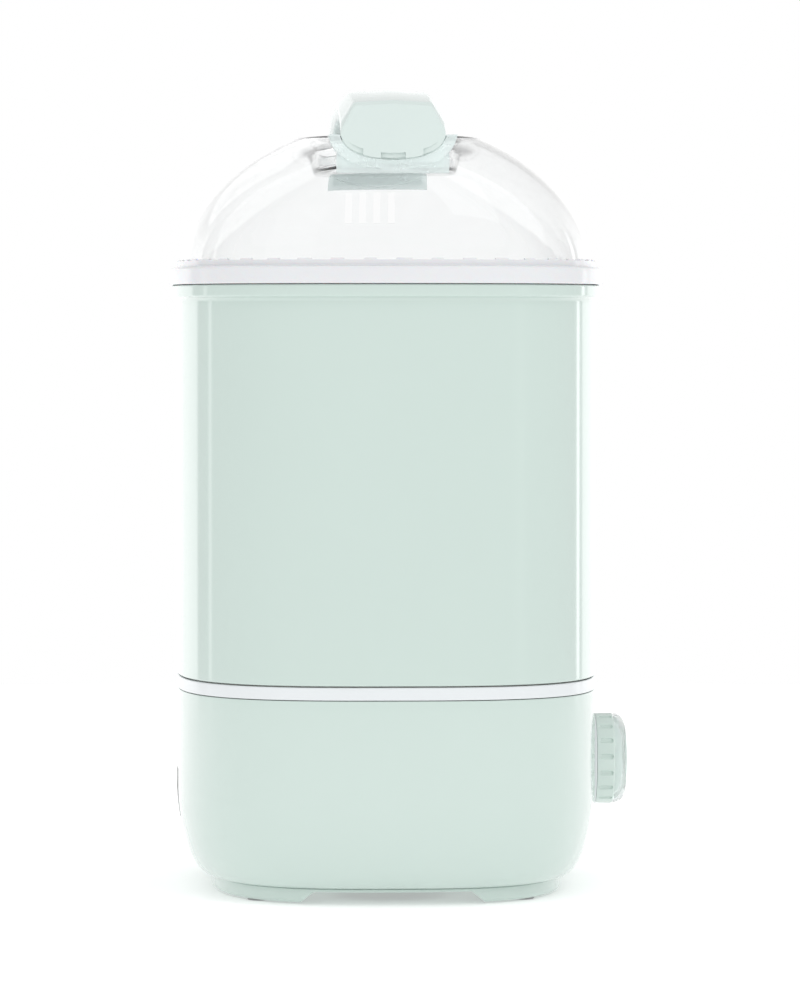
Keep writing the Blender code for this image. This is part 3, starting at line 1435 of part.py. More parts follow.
make_base_housing()
make_bottom_cover()
make_feet_and_screws()
make_base_trim_ring()
make_base_deck()
make_heating_parts()
make_fan()
make_air_path()
make_intake()
make_power_inlet()
make_knob(make_boards())

carry("sleeve_slide_place", axis_point(0, 0, SLEEVE_BOTTOM), [make_body_sleeve()])
carry("rack_slide_place", axis_point(0, 0, DECK_TOP), [make_bottle_rack()])
carry("tray_slide_place", axis_point(0, 0, LEDGE_TOP), [make_accessory_tray()])
carry("lid_slide_place", axis_point(0, 0, LID_BOTTOM), [make_lid_rim(), make_lid_dome(), make_lid_handle()])
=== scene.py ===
"""Looks of the bottle steriliser: fine shells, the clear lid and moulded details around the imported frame."""

import math

import bmesh
import bpy
from mathutils import Matrix, Vector


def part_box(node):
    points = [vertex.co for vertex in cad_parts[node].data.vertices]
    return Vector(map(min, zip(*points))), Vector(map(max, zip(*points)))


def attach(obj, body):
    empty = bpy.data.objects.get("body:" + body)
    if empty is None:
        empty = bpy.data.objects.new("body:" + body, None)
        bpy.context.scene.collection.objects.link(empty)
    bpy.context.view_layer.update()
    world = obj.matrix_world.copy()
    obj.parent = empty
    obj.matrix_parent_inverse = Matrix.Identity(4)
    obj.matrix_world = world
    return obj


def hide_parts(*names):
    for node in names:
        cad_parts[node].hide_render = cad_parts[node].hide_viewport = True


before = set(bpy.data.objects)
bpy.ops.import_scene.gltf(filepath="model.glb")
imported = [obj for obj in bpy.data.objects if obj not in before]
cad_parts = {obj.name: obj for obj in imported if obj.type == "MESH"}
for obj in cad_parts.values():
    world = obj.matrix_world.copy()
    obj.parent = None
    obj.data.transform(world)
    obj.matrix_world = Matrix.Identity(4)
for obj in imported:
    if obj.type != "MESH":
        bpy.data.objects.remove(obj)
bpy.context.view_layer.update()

# ---- places taken from the frame

RING_LOW, RING_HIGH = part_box("base_trim_ring")
AXIS_Y = (RING_LOW.y + RING_HIGH.y) / 2
HALF_X = (RING_HIGH.x - RING_LOW.x) / 2
HALF_Y = (RING_HIGH.y - RING_LOW.y) / 2
FRONT_Y = AXIS_Y - HALF_Y
BACK_Y = AXIS_Y + HALF_Y
HOUSING_LOW, HOUSING_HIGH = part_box("base_housing")
COVER_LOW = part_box("bottom_cover")[0]
DECK_LOW, DECK_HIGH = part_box("base_deck")
PLATE_LOW, PLATE_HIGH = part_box("heating_plate")
SLEEVE_LOW, SLEEVE_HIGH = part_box("body_sleeve")
RACK_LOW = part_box("bottle_rack")[0]
TRAY_LOW, TRAY_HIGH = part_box("accessory_tray")
RIM_LOW, RIM_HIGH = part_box("lid_rim")
DOME_LOW, DOME_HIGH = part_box("lid_dome")
HANDLE_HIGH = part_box("lid_handle")[1]
GRIP_LOW, GRIP_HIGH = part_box("knob_grip")
CAP_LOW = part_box("knob_cap")[0]

# ---- shape constants, in metres

PLAN_POWER = 3.0
PLAN_POINTS = 240
ROUND_POINTS = 96
ARC_STEP = math.radians(15)
GAP = 0.0003
# How far a cutter reaches past what it cuts, and the smallest radius of a turned piece's end face.
CUT = 0.01
CENTRE = 0.0002
WALL = 0.0026

TUCK_TOP = 0.045
TUCK_DEPTH = 0.0139
TUCK_POWER = 1.6
TUCK_LEVELS = 16
PLINTH_INSET = 0.0156
PLINTH_RING = 0.0114
PLINTH_HOLLOW_TOP = 0.0058
RIM_INSET = 0.0182
NOTCH_BOTTOM = 0.083
NOTCH_TOP = 0.071
SCREW_PLACES = [(x, y) for x in (-0.080, 0.080) for y in (-0.045, 0.045)]
FAN_X = -0.072

COLLAR_OUT = SLEEVE_HIGH.x - HALF_X
COLLAR_HEIGHT = 0.0055
LEDGE_DROP = 0.0194
LEDGE_WIDTH = 0.0030
SKIRT_OUT = RIM_HIGH.x - HALF_X
SKIRT_HEIGHT = 0.0070
LID_BOTTOM = SLEEVE_HIGH.z + 0.0010
NECK_NOTCH_PITCH = 0.0147
NECK_NOTCH_SIZE = (0.0086, 0.0050, 0.0014)
DOME_TOP = DOME_HIGH.z
DOME_HALF_X = DOME_HIGH.x
DOME_HALF_Y = DOME_HIGH.y - AXIS_Y
DOME_START = LID_BOTTOM + 0.0086
DOME_RISE = DOME_TOP - DOME_START
DOME_WALL = 0.0022
DOME_RISE_Y = 0.0654
DOME_POWER_Y = 1.8
DOME_RISE_X = 0.0870
DOME_POWER_X = 2.9
WELL_HALF_X = 0.060
WELL_HALF_Y = 0.036
WELL_DEPTH = 0.0105
WELL_SLOPE = 0.0045
WELL_POWER = 2.4

HANDLE_HALF_LENGTH = HANDLE_HIGH.x
HANDLE_CREST = HANDLE_HIGH.z
HANDLE_END_DROP = 0.0099
HANDLE_TOP_HALF = 0.0175
HANDLE_WIDE_HALF = 0.0240
HANDLE_END_DEPTH = 0.0250
HANDLE_MIDDLE_DEPTH = 0.0135
HANDLE_LEAN = 0.0060
SEAT_CLEARANCE = 0.0004
SEAT_LIP = 0.0046
SEAT_LENGTH = 0.022
LEG_HALF_WIDTH = 0.0225
LEG_THICKNESS = 0.0034
LEG_DROP = 0.0160
LEG_SETBACK = 0.0085
SOCKET_WALL = 0.0022
SEAT_END_INSET = 0.0005
CRADLE_SEAM = 0.00005
SNAP_WIDTH = 0.0076
SNAP_HEIGHT = 0.0034
SNAP_RISE = 0.0058

KNOB_Z = (GRIP_LOW.z + GRIP_HIGH.z) / 2
KNOB_RADIUS = 0.0210
KNOB_FRONT = FRONT_Y - CAP_LOW.y
KNOB_RIBS = 17
KNOB_GROOVE_RADIUS = 0.00135
KNOB_GROOVE_OUT = KNOB_RADIUS + 0.0004
KNOB_CAP_RADIUS = 0.0150
ESCUTCHEON_RADIUS = 0.0218
ESCUTCHEON_BORE = 0.0055
ESCUTCHEON_DEPTH = 0.0017
POINTER_UP = 0.0095

RACK_LIFT = 0.0150
RACK_RAIL = 0.0160
RACK_INSET = 0.0080
RACK_WALL = 0.0022
RACK_FLOOR = 0.0026
PEG_PLACES = [(x, y) for x in (-0.076, 0.0, 0.076) for y in (-0.039, 0.039)]
RACK_FOOT_PLACES = [(x, y) for x in (-0.098, 0.098) for y in (-0.058, 0.058)]

# ---- mesh helpers


def axis_point(x, y, z):
    """A point given from the machine's upright axis."""
    return Vector((x, AXIS_Y + y, z))


def make(name, fill, degrees=35):
    """A smooth-shaded object whose mesh the fill function makes."""
    mesh = bpy.data.meshes.new(name)
    bm = bmesh.new()
    fill(bm)
    bmesh.ops.recalc_face_normals(bm, faces=bm.faces)
    bm.to_mesh(mesh)
    bm.free()
    mesh.shade_smooth()
    mesh.set_sharp_from_angle(angle=math.radians(degrees))
    obj = bpy.data.objects.new(name, mesh)
    bpy.context.scene.collection.objects.link(obj)
    return obj


def carve(obj, cutters, operation="DIFFERENCE", degrees=35):
    """Cuts the cutters from the object, or joins them to it, and keeps the result as its mesh."""
    for cutter in cutters:
        modifier = obj.modifiers.new(cutter.name, "BOOLEAN")
        modifier.object = cutter
        modifier.operation = operation
        modifier.solver = "EXACT"
    bpy.context.view_layer.update()
    graph = bpy.context.evaluated_depsgraph_get()
    mesh = bpy.data.meshes.new_from_object(obj.evaluated_get(graph))
    obj.modifiers.clear()
    obj.data = mesh
    mesh.shade_smooth()
    mesh.set_sharp_from_angle(angle=math.radians(degrees))
    for cutter in cutters:
        bpy.data.objects.remove(cutter)
    return obj


def bevel(obj, width, segments=3, degrees=40):
    modifier = obj.modifiers.new("Edges", "BEVEL")
    modifier.width = width
    modifier.segments = segments
    modifier.limit_method = "ANGLE"
    modifier.angle_limit = math.radians(degrees)
    modifier.harden_normals = True
    return obj


def flat_normals(obj):
    """Keeps large faces flat up to their rounded edges."""
    modifier = obj.modifiers.new("Normals", "WEIGHTED_NORMAL")
    modifier.keep_sharp = True
    return obj


def finish_piece(obj, body, slot, material, *nodes):
    obj.data.materials.clear()
    obj.data.materials.append(material)
    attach(obj, body)
    if nodes:
        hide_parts(*nodes)
    return obj


def rounded(corners, closed=True, arc_steps=None):
    """A profile whose (across, up, radius) corners are rounded with arcs."""
    points = []
    count = len(corners)
    for index, (across, up, radius) in enumerate(corners):
        here = Vector((across, up))
        if radius == 0 or (not closed and index in (0, count - 1)):
            points.append((across, up))
            continue
        before = Vector(corners[index - 1][:2]) - here
        after = Vector(corners[(index + 1) % count][:2]) - here
        half = before.angle(after) / 2
        reach = min(radius / math.tan(half), 0.49 * before.length, 0.49 * after.length)
        middle = (before.normalized() + after.normalized()).normalized()
        centre = here + middle * (reach / math.cos(half))
        first = here + before.normalized() * reach - centre
        last = here + after.normalized() * reach - centre
        start = math.atan2(first.y, first.x)
        sweep = (math.atan2(last.y, last.x) - start + math.pi) % (2 * math.pi) - math.pi
        steps = arc_steps or max(2, math.ceil(abs(sweep) / ARC_STEP))
        for step in range(steps + 1):
            angle = start + sweep * step / steps
            spot = centre + Vector((math.cos(angle), math.sin(angle))) * first.length
            points.append((spot.x, spot.y))
    return points


def plan_ring(half_x, half_y, z, power=PLAN_POWER, count=PLAN_POINTS):
    """One level superellipse about the machine's axis."""
    points = []
    for index in range(count):
        angle = 2 * math.pi * index / count
        across, along = math.cos(angle), math.sin(angle)
        x = math.copysign(abs(across) ** (2 / power), across) * half_x
        y = math.copysign(abs(along) ** (2 / power), along) * half_y
        points.append(axis_point(x, y, z))
    return points


def skin(bm, rings, closed):
    """Joins the rings in order. A closed skin joins the last ring to the first, an open one gets caps."""
    made = [[bm.verts.new(point) for point in ring] for ring in rings]
    pairs = list(zip(made, made[1:]))
    if closed:
        pairs.append((made[-1], made[0]))
    for lower, upper in pairs:
        count = len(lower)
        for index in range(count):
            after = (index + 1) % count
            bm.faces.new((lower[index], lower[after], upper[after], upper[index]))
    if not closed:
        bm.faces.new(made[0])
        bm.faces.new(made[-1])


def loft(name, rings, closed=True, degrees=35):
    return make(name, lambda bm: skin(bm, rings, closed), degrees)


def body_loft(name, profile, closed=True, degrees=35):
    """A shell that follows the body's outline, from (offset, height) points."""
    rings = [plan_ring(HALF_X + offset, HALF_Y + offset, z) for offset, z in profile]
    return loft(name, rings, closed, degrees)


def turned(name, profile, centre, along="Z", count=ROUND_POINTS, open_ends=False):
    """A turned piece from (radius, height) points. Along -Y, height runs towards the front."""
    rings = []
    for radius, height in profile:
        ring = []
        for index in range(count):
            angle = 2 * math.pi * index / count
            across, up = radius * math.cos(angle), radius * math.sin(angle)
            spot = Vector((across, up, height)) if along == "Z" else Vector((across, -height, up))
            ring.append(Vector(centre) + spot)
        rings.append(ring)
    return loft(name, rings, not open_ends)


def add_box(bm, low, high):
    size, centre = Vector(high) - Vector(low), (Vector(high) + Vector(low)) / 2
    matrix = Matrix.Translation(centre) @ Matrix.Diagonal((*size, 1.0))
    bmesh.ops.create_cube(bm, size=1.0, matrix=matrix)


def add_rod(bm, start, end, radius, count=32, end_radius=None):
    start, end = Vector(start), Vector(end)
    turn = (end - start).to_track_quat("Z", "Y").to_matrix().to_4x4()
    bmesh.ops.create_cone(
        bm,
        cap_ends=True,
        segments=count,
        radius1=radius,
        radius2=radius if end_radius is None else end_radius,
        depth=(end - start).length,
        matrix=Matrix.Translation((start + end) / 2) @ turn,
    )


def boxes(name, pairs):
    def fill(bm):
        for low, high in pairs:
            add_box(bm, low, high)

    return make(name, fill)


def rods(name, pairs, radius, count=32, end_radius=None):
    def fill(bm):
        for start, end in pairs:
            add_rod(bm, start, end, radius, count, end_radius)

    return make(name, fill)


def uprights(places, low_z, high_z):
    """Ends for upright rods at (x, y) places."""
    return [(axis_point(x, y, low_z), axis_point(x, y, high_z)) for x, y in places]


def slot_rings(half_x, half_y, low_z, high_z, centre, count=12):
    """Two level rings of an upright slot with round ends."""
    points = []
    long_x = half_x > half_y
    radius = min(half_x, half_y)
    reach = max(half_x, half_y) - radius
    for index in range(2 * count):
        angle = math.pi * (index + 0.5) / count
        side = reach if (math.cos(angle) if long_x else math.sin(angle)) > 0 else -reach
        x = radius * math.cos(angle) + (side if long_x else 0.0)
        y = radius * math.sin(angle) + (0.0 if long_x else side)
        points.append((x, y))
    return [[Vector(centre) + Vector((x, y, z)) for x, y in points] for z in (low_z, high_z)]


# ---- materials


def math_node(nodes, links, operation, *values):
    node = nodes.new("ShaderNodeMath")
    node.operation = operation
    for socket, value in zip(node.inputs, values):
        if isinstance(value, (int, float)):
            socket.default_value = value
        else:
            links.new(value, socket)
    return node.outputs["Value"]


def socket_mix(nodes, links, colour, low, high, factor):
    mix = nodes.new("ShaderNodeMix")
    mix.data_type = "RGBA"
    mix.inputs["A"].default_value = (*[c * low for c in colour], 1)
    mix.inputs["B"].default_value = (*[min(1.0, c * high) for c in colour], 1)
    links.new(factor, mix.inputs["Factor"])
    return mix.outputs["Result"]


def moulded(name, colour, roughness, peel=0.000006, peel_scale=420, mottle=0.015, edge_highlight=0.03, **sockets):
    """Moulded plastic or another smooth finish: soft tone variation, orange peel and a painted highlight that
    makes convex edges paler.
    """
    material = bpy.data.materials.new(name)
    material.use_nodes = True
    nodes, links = material.node_tree.nodes, material.node_tree.links
    shader = nodes["Principled BSDF"]
    place = nodes.new("ShaderNodeTexCoord").outputs["Object"]

    def noise(scale, detail, rough=0.5):
        texture = nodes.new("ShaderNodeTexNoise")
        texture.inputs["Scale"].default_value = scale
        texture.inputs["Detail"].default_value = detail
        texture.inputs["Roughness"].default_value = rough
        links.new(place, texture.inputs["Vector"])
        return texture.outputs["Fac"]

    def spread(value, low, high, from_low=0.3, from_high=0.7):
        ranged = nodes.new("ShaderNodeMapRange")
        ranged.inputs["From Min"].default_value = from_low
        ranged.inputs["From Max"].default_value = from_high
        ranged.inputs["To Min"].default_value = low
        ranged.inputs["To Max"].default_value = high
        links.new(value, ranged.inputs["Value"])
        return ranged.outputs["Result"]

    tone = socket_mix(nodes, links, colour, 1 - mottle, 1 + mottle, noise(22, 3))
    # Pointiness mixes convex edges towards white: a painted edge highlight.
    edge = spread(nodes.new("ShaderNodeNewGeometry").outputs["Pointiness"], 0.0, edge_highlight, 0.52, 0.60)
    painted_edge_highlight = nodes.new("ShaderNodeMix")
    painted_edge_highlight.data_type = "RGBA"
    painted_edge_highlight.inputs["B"].default_value = (0.95, 0.95, 0.95, 1)
    links.new(edge, painted_edge_highlight.inputs["Factor"])
    links.new(tone, painted_edge_highlight.inputs["A"])
    links.new(painted_edge_highlight.outputs["Result"], shader.inputs["Base Color"])
    links.new(spread(noise(75, 4, 0.6), 0.85 * roughness, 1.2 * roughness), shader.inputs["Roughness"])
    bump = nodes.new("ShaderNodeBump")
    bump.inputs["Strength"].default_value = 1.0
    bump.inputs["Distance"].default_value = peel
    links.new(noise(peel_scale, 2), bump.inputs["Height"])
    links.new(bump.outputs["Normal"], shader.inputs["Normal"])
    for socket, value in sockets.items():
        shader.inputs[socket.replace("_", " ")].default_value = value
    return material


def clear(name, colour, roughness, refraction=1.49, tint_share=0.0, seen_through=0.0, **sockets):
    """Clear moulded plastic, which lets light from lamps and from around pass to what is inside."""
    glass = {"Transmission_Weight": 1.0, "IOR": refraction, **sockets}
    material = moulded(name, colour, roughness, 0.000004, 120, 0.01, 0.0, **glass)
    nodes, links = material.node_tree.nodes, material.node_tree.links
    shader, output = nodes["Principled BSDF"], nodes["Material Output"]
    path = nodes.new("ShaderNodeLightPath")
    lit = path.outputs["Is Shadow Ray"], path.outputs["Is Diffuse Ray"]
    reach = math_node(nodes, links, "MAXIMUM", *lit)
    share = math_node(nodes, links, "MAXIMUM", reach, seen_through)
    through = nodes.new("ShaderNodeBsdfTransparent")
    through.inputs["Color"].default_value = (*[1 - 0.06 * (1 + tint_share) * (1.3 - c) for c in colour], 1)
    mix = nodes.new("ShaderNodeMixShader")
    links.new(share, mix.inputs["Fac"])
    links.new(shader.outputs["BSDF"], mix.inputs[1])
    links.new(through.outputs["BSDF"], mix.inputs[2])
    links.new(mix.outputs["Shader"], output.inputs["Surface"])
    return material


MINT = moulded(
    "Mint plastic", (0.560, 0.662, 0.620), 0.12, 0.000004, mottle=0.008, Coat_Weight=0.4, Coat_Roughness=0.02
)
MINT_TOP = moulded("Mint handle plastic", (0.65, 0.735, 0.71), 0.16, Coat_Weight=0.2, Coat_Roughness=0.03)
WHITE = moulded("White plastic", (0.73, 0.76, 0.775), 0.20, Coat_Weight=0.15, Coat_Roughness=0.05)
MATT_WHITE = moulded("Fine matt white plastic", (0.80, 0.80, 0.77), 0.42, 0.00002, 1500, 0.02)
FROSTED = moulded(
    "Frosted rim plastic", (0.73, 0.74, 0.76), 0.18, Subsurface_Weight=0.1, Subsurface_Scale=0.002
)
CLEAR = clear("Clear lid plastic", (0.985, 0.99, 0.99), 0.015, 1.45)
CRADLE = clear("Clear cradle plastic", (0.83, 0.91, 0.90), 0.25, 1.05, 0.0, 0.25)
CRADLE.node_tree.nodes["Principled BSDF"].inputs["Transmission Weight"].default_value = 0.3
LENS = clear("Indicator lens plastic", (0.70, 0.78, 0.78), 0.12, 1.3, 1.0)
BEZEL = clear("Knob bezel plastic", (0.93, 0.95, 0.96), 0.08, 1.2, 0.0, 0.45)
# The knob's mint is the body's mint painted lighter, to offset the shade that the body wall casts on the knob.
KNOB_MINT_PAINTED_LIGHTER = moulded("Mint knob plastic painted lighter", (0.66, 0.755, 0.715), 0.14, Coat_Weight=0.3, Coat_Roughness=0.02)
RUBBER = moulded("Foot rubber", (0.32, 0.33, 0.33), 0.72, 0.00003, 1800, 0.05, 0.0)
SILICONE = moulded("Seal silicone", (0.72, 0.73, 0.71), 0.5, 0.00001, 900, 0.03, 0.0, Subsurface_Weight=0.2)
STEEL = moulded("Bright steel", (0.62, 0.62, 0.60), 0.28, 0.00001, 2400, 0.04, 0.0, Metallic=1.0)
ALUMINIUM = moulded("Cast aluminium", (0.76, 0.76, 0.78), 0.38, 0.00003, 1300, 0.05, 0.0, Metallic=1.0)
COATED = moulded("Non-stick coating", (0.17, 0.175, 0.18), 0.34, 0.00003, 2200, 0.25, 0.0, Metallic=0.2)
BLACK = moulded("Black plastic", (0.045, 0.046, 0.05), 0.42, 0.00002, 1600, 0.08, 0.01)
PAPER = moulded("Filter paper", (0.84, 0.84, 0.80), 0.9, 0.00006, 1500, 0.05, 0.0)
BOARD = moulded("Circuit board", (0.04, 0.22, 0.10), 0.35, 0.00002, 900, 0.12, 0.0, Coat_Weight=0.3)

# ---- base unit


def tuck(z):
    """How far the base wall lies inside the body's outline at a height."""
    if z >= TUCK_TOP:
        return 0.0
    share = min(1.0, (TUCK_TOP - z) / (TUCK_TOP - HOUSING_LOW.z))
    return TUCK_DEPTH * (1 - math.sqrt(max(0.0, 1 - share**TUCK_POWER)))


def tuck_levels(low_z, high_z):
    """Heights from low to high, close together where the wall turns under."""
    span = TUCK_TOP - HOUSING_LOW.z
    angles = [math.pi / 2 * index / TUCK_LEVELS for index in range(TUCK_LEVELS + 1)]
    levels = [HOUSING_LOW.z + span * (1 - math.cos(angle)) for angle in angles]
    return [low_z, *[z for z in levels if low_z + GAP < z < high_z - GAP], high_z]


def window_box(name, low_x, high_x, low_z, high_z, side, grow=0.0):
    near, far = sorted((side * HALF_Y / 2, side * 2 * HALF_Y))
    low = axis_point(low_x - grow, near, low_z - grow)
    return boxes(name, [(low, axis_point(high_x + grow, far, high_z + grow))])


def node_window(name, node, side, grow=0.0):
    """A cutter through the wall, as large as a CAD node seen from the front or the back."""
    low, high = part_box(node)
    return window_box(name, low.x, high.x, low.z, high.z, side, grow)


def build_housing():
    top = HOUSING_HIGH.z
    outer = [(-tuck(z), z) for z in tuck_levels(HOUSING_LOW.z, TUCK_TOP)]
    outer += [(0.0, 0.5 * (TUCK_TOP + top))]
    lip = [(0.0, TUCK_TOP + 0.02, 0), (0.0, top, 0.0005), (-WALL, top, 0.0004), (-WALL, TUCK_TOP, 0)]
    lip = rounded(lip, False)
    inner = [(-tuck(z) - WALL, z) for z in reversed(tuck_levels(HOUSING_LOW.z + 0.008, TUCK_TOP))][1:]
    rim = [(-RIM_INSET, HOUSING_LOW.z + 0.0035), (-RIM_INSET, HOUSING_LOW.z)]
    housing = body_loft("base_housing_fine", outer + lip[1:] + inner + rim)
    bore_ends = axis_point(0, -HALF_Y / 2, KNOB_Z), axis_point(0, -2 * HALF_Y, KNOB_Z)
    cutters = [
        node_window("filter_window", "filter_cover", 1, GAP),
        node_window("lens_window", "indicator_lens", -1, GAP),
        node_window("inlet_window", "power_inlet", 1, GAP),
        rods("bushing_bore", [bore_ends], 0.0048),
    ]
    finish_piece(flat_normals(carve(housing, cutters)), "base", "mint_plastic", MINT, "base_housing")


def build_bottom_cover():
    shelf = HOUSING_LOW.z - GAP
    inset = RIM_INSET + GAP
    ring = PLINTH_INSET + PLINTH_RING
    bottom = COVER_LOW.z
    profile = rounded(
        [
            (-ring, PLINTH_HOLLOW_TOP, 0.0006),
            (-ring, bottom, 0.0010),
            (-PLINTH_INSET, bottom, 0.0016),
            (-PLINTH_INSET, shelf, 0.0004),
            (-inset, shelf, 0),
            (-inset, shelf + 0.0048, 0.0004),
            (-inset - 0.0025, shelf + 0.0048, 0.0004),
            (-inset - 0.0025, PLINTH_HOLLOW_TOP + 0.0037, 0.0006),
        ],
        True,
    )
    cover = body_loft("bottom_cover_fine", profile, False)
    flare = NOTCH_BOTTOM / 2 + 0.004, bottom - CUT, 0
    half = [flare, (NOTCH_BOTTOM / 2, bottom, 0.002), (NOTCH_TOP / 2, PLINTH_HOLLOW_TOP, 0.0025)]
    arch = rounded(half + [(-across, up, radius) for across, up, radius in reversed(half)], False)
    outline = [arch[-1], *arch[:-1]]
    rings = [[axis_point(x, y, z) for y, z in outline] for x in (-2 * HALF_X, 2 * HALF_X)]
    notch = loft("side_notch", rings, False)
    head_top = PLINTH_HOLLOW_TOP + 0.0026
    recess = rods("screw_recesses", uprights(SCREW_PLACES, 0, head_top), 0.0046)
    feet = []
    for node in foot_nodes():
        low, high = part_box(node)
        middle = (low + high) / 2
        feet.append((Vector((middle.x, middle.y, -0.01)), Vector((middle.x, middle.y, high.z + GAP))))
    foot_recess = rods("foot_recesses", feet, 0.0053)
    slits = []
    for row in range(-4, 5):
        y = row * 0.0055
        reach = math.sqrt(max(0.0, 0.026**2 - y**2))
        slits.append((axis_point(FAN_X - reach, y - 0.0013, 0), axis_point(FAN_X + reach, y + 0.0013, 0.02)))
    cutters = [notch, recess, foot_recess, boxes("intake_slits", slits)]
    finish_piece(flat_normals(carve(cover, cutters)), "base", "mint_plastic", MINT, "bottom_cover")


def foot_nodes():
    return ["foot_pad_%s_%s" % (depth, side) for depth in ("back", "front") for side in ("left", "right")]


def build_feet_and_screws():
    for node in foot_nodes():
        low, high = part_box(node)
        centre, radius = (low + high) / 2, (high.x - low.x) / 2
        tread = [(radius - 0.0034, low.z + 0.0003), (radius - 0.0030, low.z)]
        corners = [(radius - 0.003, low.z, 0), (radius, low.z, 0.0006), (radius, high.z, 0.0002)]
        side = rounded([*corners, (0.001, high.z, 0)], False)
        profile = [(CENTRE, low.z + 0.0003), *tread, *side[1:], (CENTRE, high.z)]
        foot = turned(node + "_fine", profile, (centre.x, centre.y, 0), open_ends=True, count=48)
        finish_piece(foot, "base", "foot_rubber", RUBBER, node)
    for depth in ("back", "front"):
        for side in ("left", "right"):
            build_screw("cover_screw_%s_%s" % (depth, side))


def build_screw(node):
    low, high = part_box(node)
    centre = Vector(((low.x + high.x) / 2, (low.y + high.y) / 2, 0))
    head, shank = (high.x - low.x) / 2, 0.0017
    under = low.z + 0.0020
    corners = [(0.001, low.z, 0), (head, low.z, 0.0012), (head, under, 0.0003), (shank, under, 0)]
    profile = [(CENTRE, low.z), *rounded(corners, False)]
    turns = 14
    for turn in range(turns):
        z = under + 0.002 + (high.z - under - 0.004) * turn / turns
        profile += [(shank - 0.00035, z), (shank, z + 0.0003)]
    profile += [(shank - 0.0006, high.z - 0.0006), (CENTRE, high.z)]
    screw = turned(node + "_fine", profile, centre, open_ends=True, count=32)
    arm, reach, deep = 0.00055, 0.0021, 0.0013
    cross = [
        (centre + Vector((-reach, -arm, low.z - CUT)), centre + Vector((reach, arm, low.z + deep))),
        (centre + Vector((-arm, -reach, low.z - CUT)), centre + Vector((arm, reach, low.z + deep))),
    ]
    carve(screw, [boxes("cross_%d" % index, [pair]) for index, pair in enumerate(cross)])
    finish_piece(flat_normals(screw), "base", "steel", STEEL, node)


def build_trim_ring():
    flange_top = DECK_LOW_FLANGE + GAP
    profile = rounded(
        [
            (0.0, RING_LOW.z, 0.0003),
            (0.0, RING_HIGH.z, 0.0007),
            (-0.0029, RING_HIGH.z, 0.0004),
            (-0.0029, flange_top, 0),
            (-0.0009, flange_top, 0),
            (-0.0009, RING_LOW.z, 0.0002),
        ]
    )
    ring = flat_normals(body_loft("base_trim_ring_fine", profile))
    finish_piece(ring, "base", "white_plastic", WHITE, "base_trim_ring")


DECK_BOTTOM = HOUSING_HIGH.z + GAP
DECK_TOP = DECK_BOTTOM + 0.0030
DECK_LOW_FLANGE = DECK_BOTTOM + 0.0019
PLATE_X = (PLATE_LOW.x + PLATE_HIGH.x) / 2
WELL_RADIUS = 0.047
OUTLET_SIZE = 0.046


def build_deck():
    profile = rounded(
        [
            (-0.0012, DECK_BOTTOM, 0),
            (-0.0012, DECK_LOW_FLANGE, 0.0003),
            (-0.0032, DECK_LOW_FLANGE, 0),
            (-0.0032, DECK_HIGH.z, 0.0006),
            (-0.0052, DECK_HIGH.z, 0.0006),
            (-0.0052, DECK_TOP, 0.0015),
        ],
        True,
    )
    deck = body_loft("base_deck_fine", profile, False)
    inside, low, high = WELL_RADIUS - 0.001, DECK_TOP - 0.001, DECK_TOP + 0.0012
    corners = [(inside, low, 0), (inside, high, 0.0004), (WELL_RADIUS + 0.0016, high, 0.0008)]
    rim = turned("well_rim", rounded([*corners, (WELL_RADIUS + 0.0026, low, 0)]), axis_point(PLATE_X, 0, 0))
    carve(deck, [rim], "UNION")
    well = rods("well", uprights([(PLATE_X, 0)], DECK_BOTTOM - CUT, DECK_TOP + 0.02), WELL_RADIUS, 96)
    half = OUTLET_SIZE / 2
    low = axis_point(FAN_X - half, -half, DECK_BOTTOM - CUT)
    carve(deck, [well, boxes("outlet", [(low, axis_point(FAN_X + half, half, DECK_TOP + CUT))])])
    posts = rods("posts", uprights(SCREW_PLACES, DECK_LOW.z, DECK_BOTTOM + 0.001), 0.0045)
    carve(deck, [posts], "UNION")
    holes = rods("holes", uprights(SCREW_PLACES, 0, 0.030), 0.0020)
    finish_piece(flat_normals(carve(deck, [holes])), "base", "chamber_plastic", MATT_WHITE, "base_deck")


def build_plate():
    top, bottom = PLATE_HIGH.z, PLATE_LOW.z
    floor, dish, edge = bottom + 0.0015, 0.043, (PLATE_HIGH.x - PLATE_LOW.x) / 2
    steps = [(CENTRE, 0.0002), (0.012, 0.0002), (0.0124, 0), (0.0290, 0), (0.0294, 0.0003), (0.0310, 0.0003)]
    rings = [(radius, floor + step) for radius, step in [*steps, (0.0314, 0)]]
    side = [(0.032, floor, 0), (dish - 0.0025, floor, 0.002), (dish, top, 0.0012), (edge, top, 0.0005)]
    side += [(edge, top - 0.0015, 0.0003), (dish + 0.0015, top - 0.0015, 0.001)]
    side += [(dish - 0.001, bottom, 0.001), (0.01, bottom, 0)]
    profile = [*rings, *rounded(side, False)[1:], (CENTRE, bottom)]
    plate = turned("heating_plate_fine", profile, axis_point(PLATE_X, 0, 0), open_ends=True)
    finish_piece(flat_normals(plate), "base", "plate_coating", COATED, "heating_plate")


def build_outlet_grille():
    low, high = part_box("air_outlet_grille")
    hood = boxes("air_outlet_grille_fine", [(low, high)])
    bevel(hood, 0.0025, 4)
    carve(hood, [])
    inner = Vector((0.002, 0.002, 0))
    hollow = low + inner - Vector((0, 0, CUT)), high - inner - Vector((0, 0, 0.002))
    cutters = [boxes("hollow", [hollow])]
    middle = (low + high) / 2
    for row in range(-3, 4):
        y = row * 0.0062
        points = slot_rings(0.017, 0.0014, high.z - 0.004, high.z + CUT, (middle.x, middle.y + y, 0))
        cutters.append(loft("top_slot_%d" % row, points, False))
    sides = []
    for row in range(-3, 4):
        y = middle.y + row * 0.0062
        sides.append(((low.x - CUT, y - 0.0014, low.z + 0.002), (high.x + CUT, y + 0.0014, low.z + 0.0065)))
    cutters.append(boxes("side_slots", sides))
    hood = flat_normals(bevel(carve(hood, cutters), 0.0002, 1, 60))
    finish_piece(hood, "base", "white_plastic", WHITE, "air_outlet_grille")


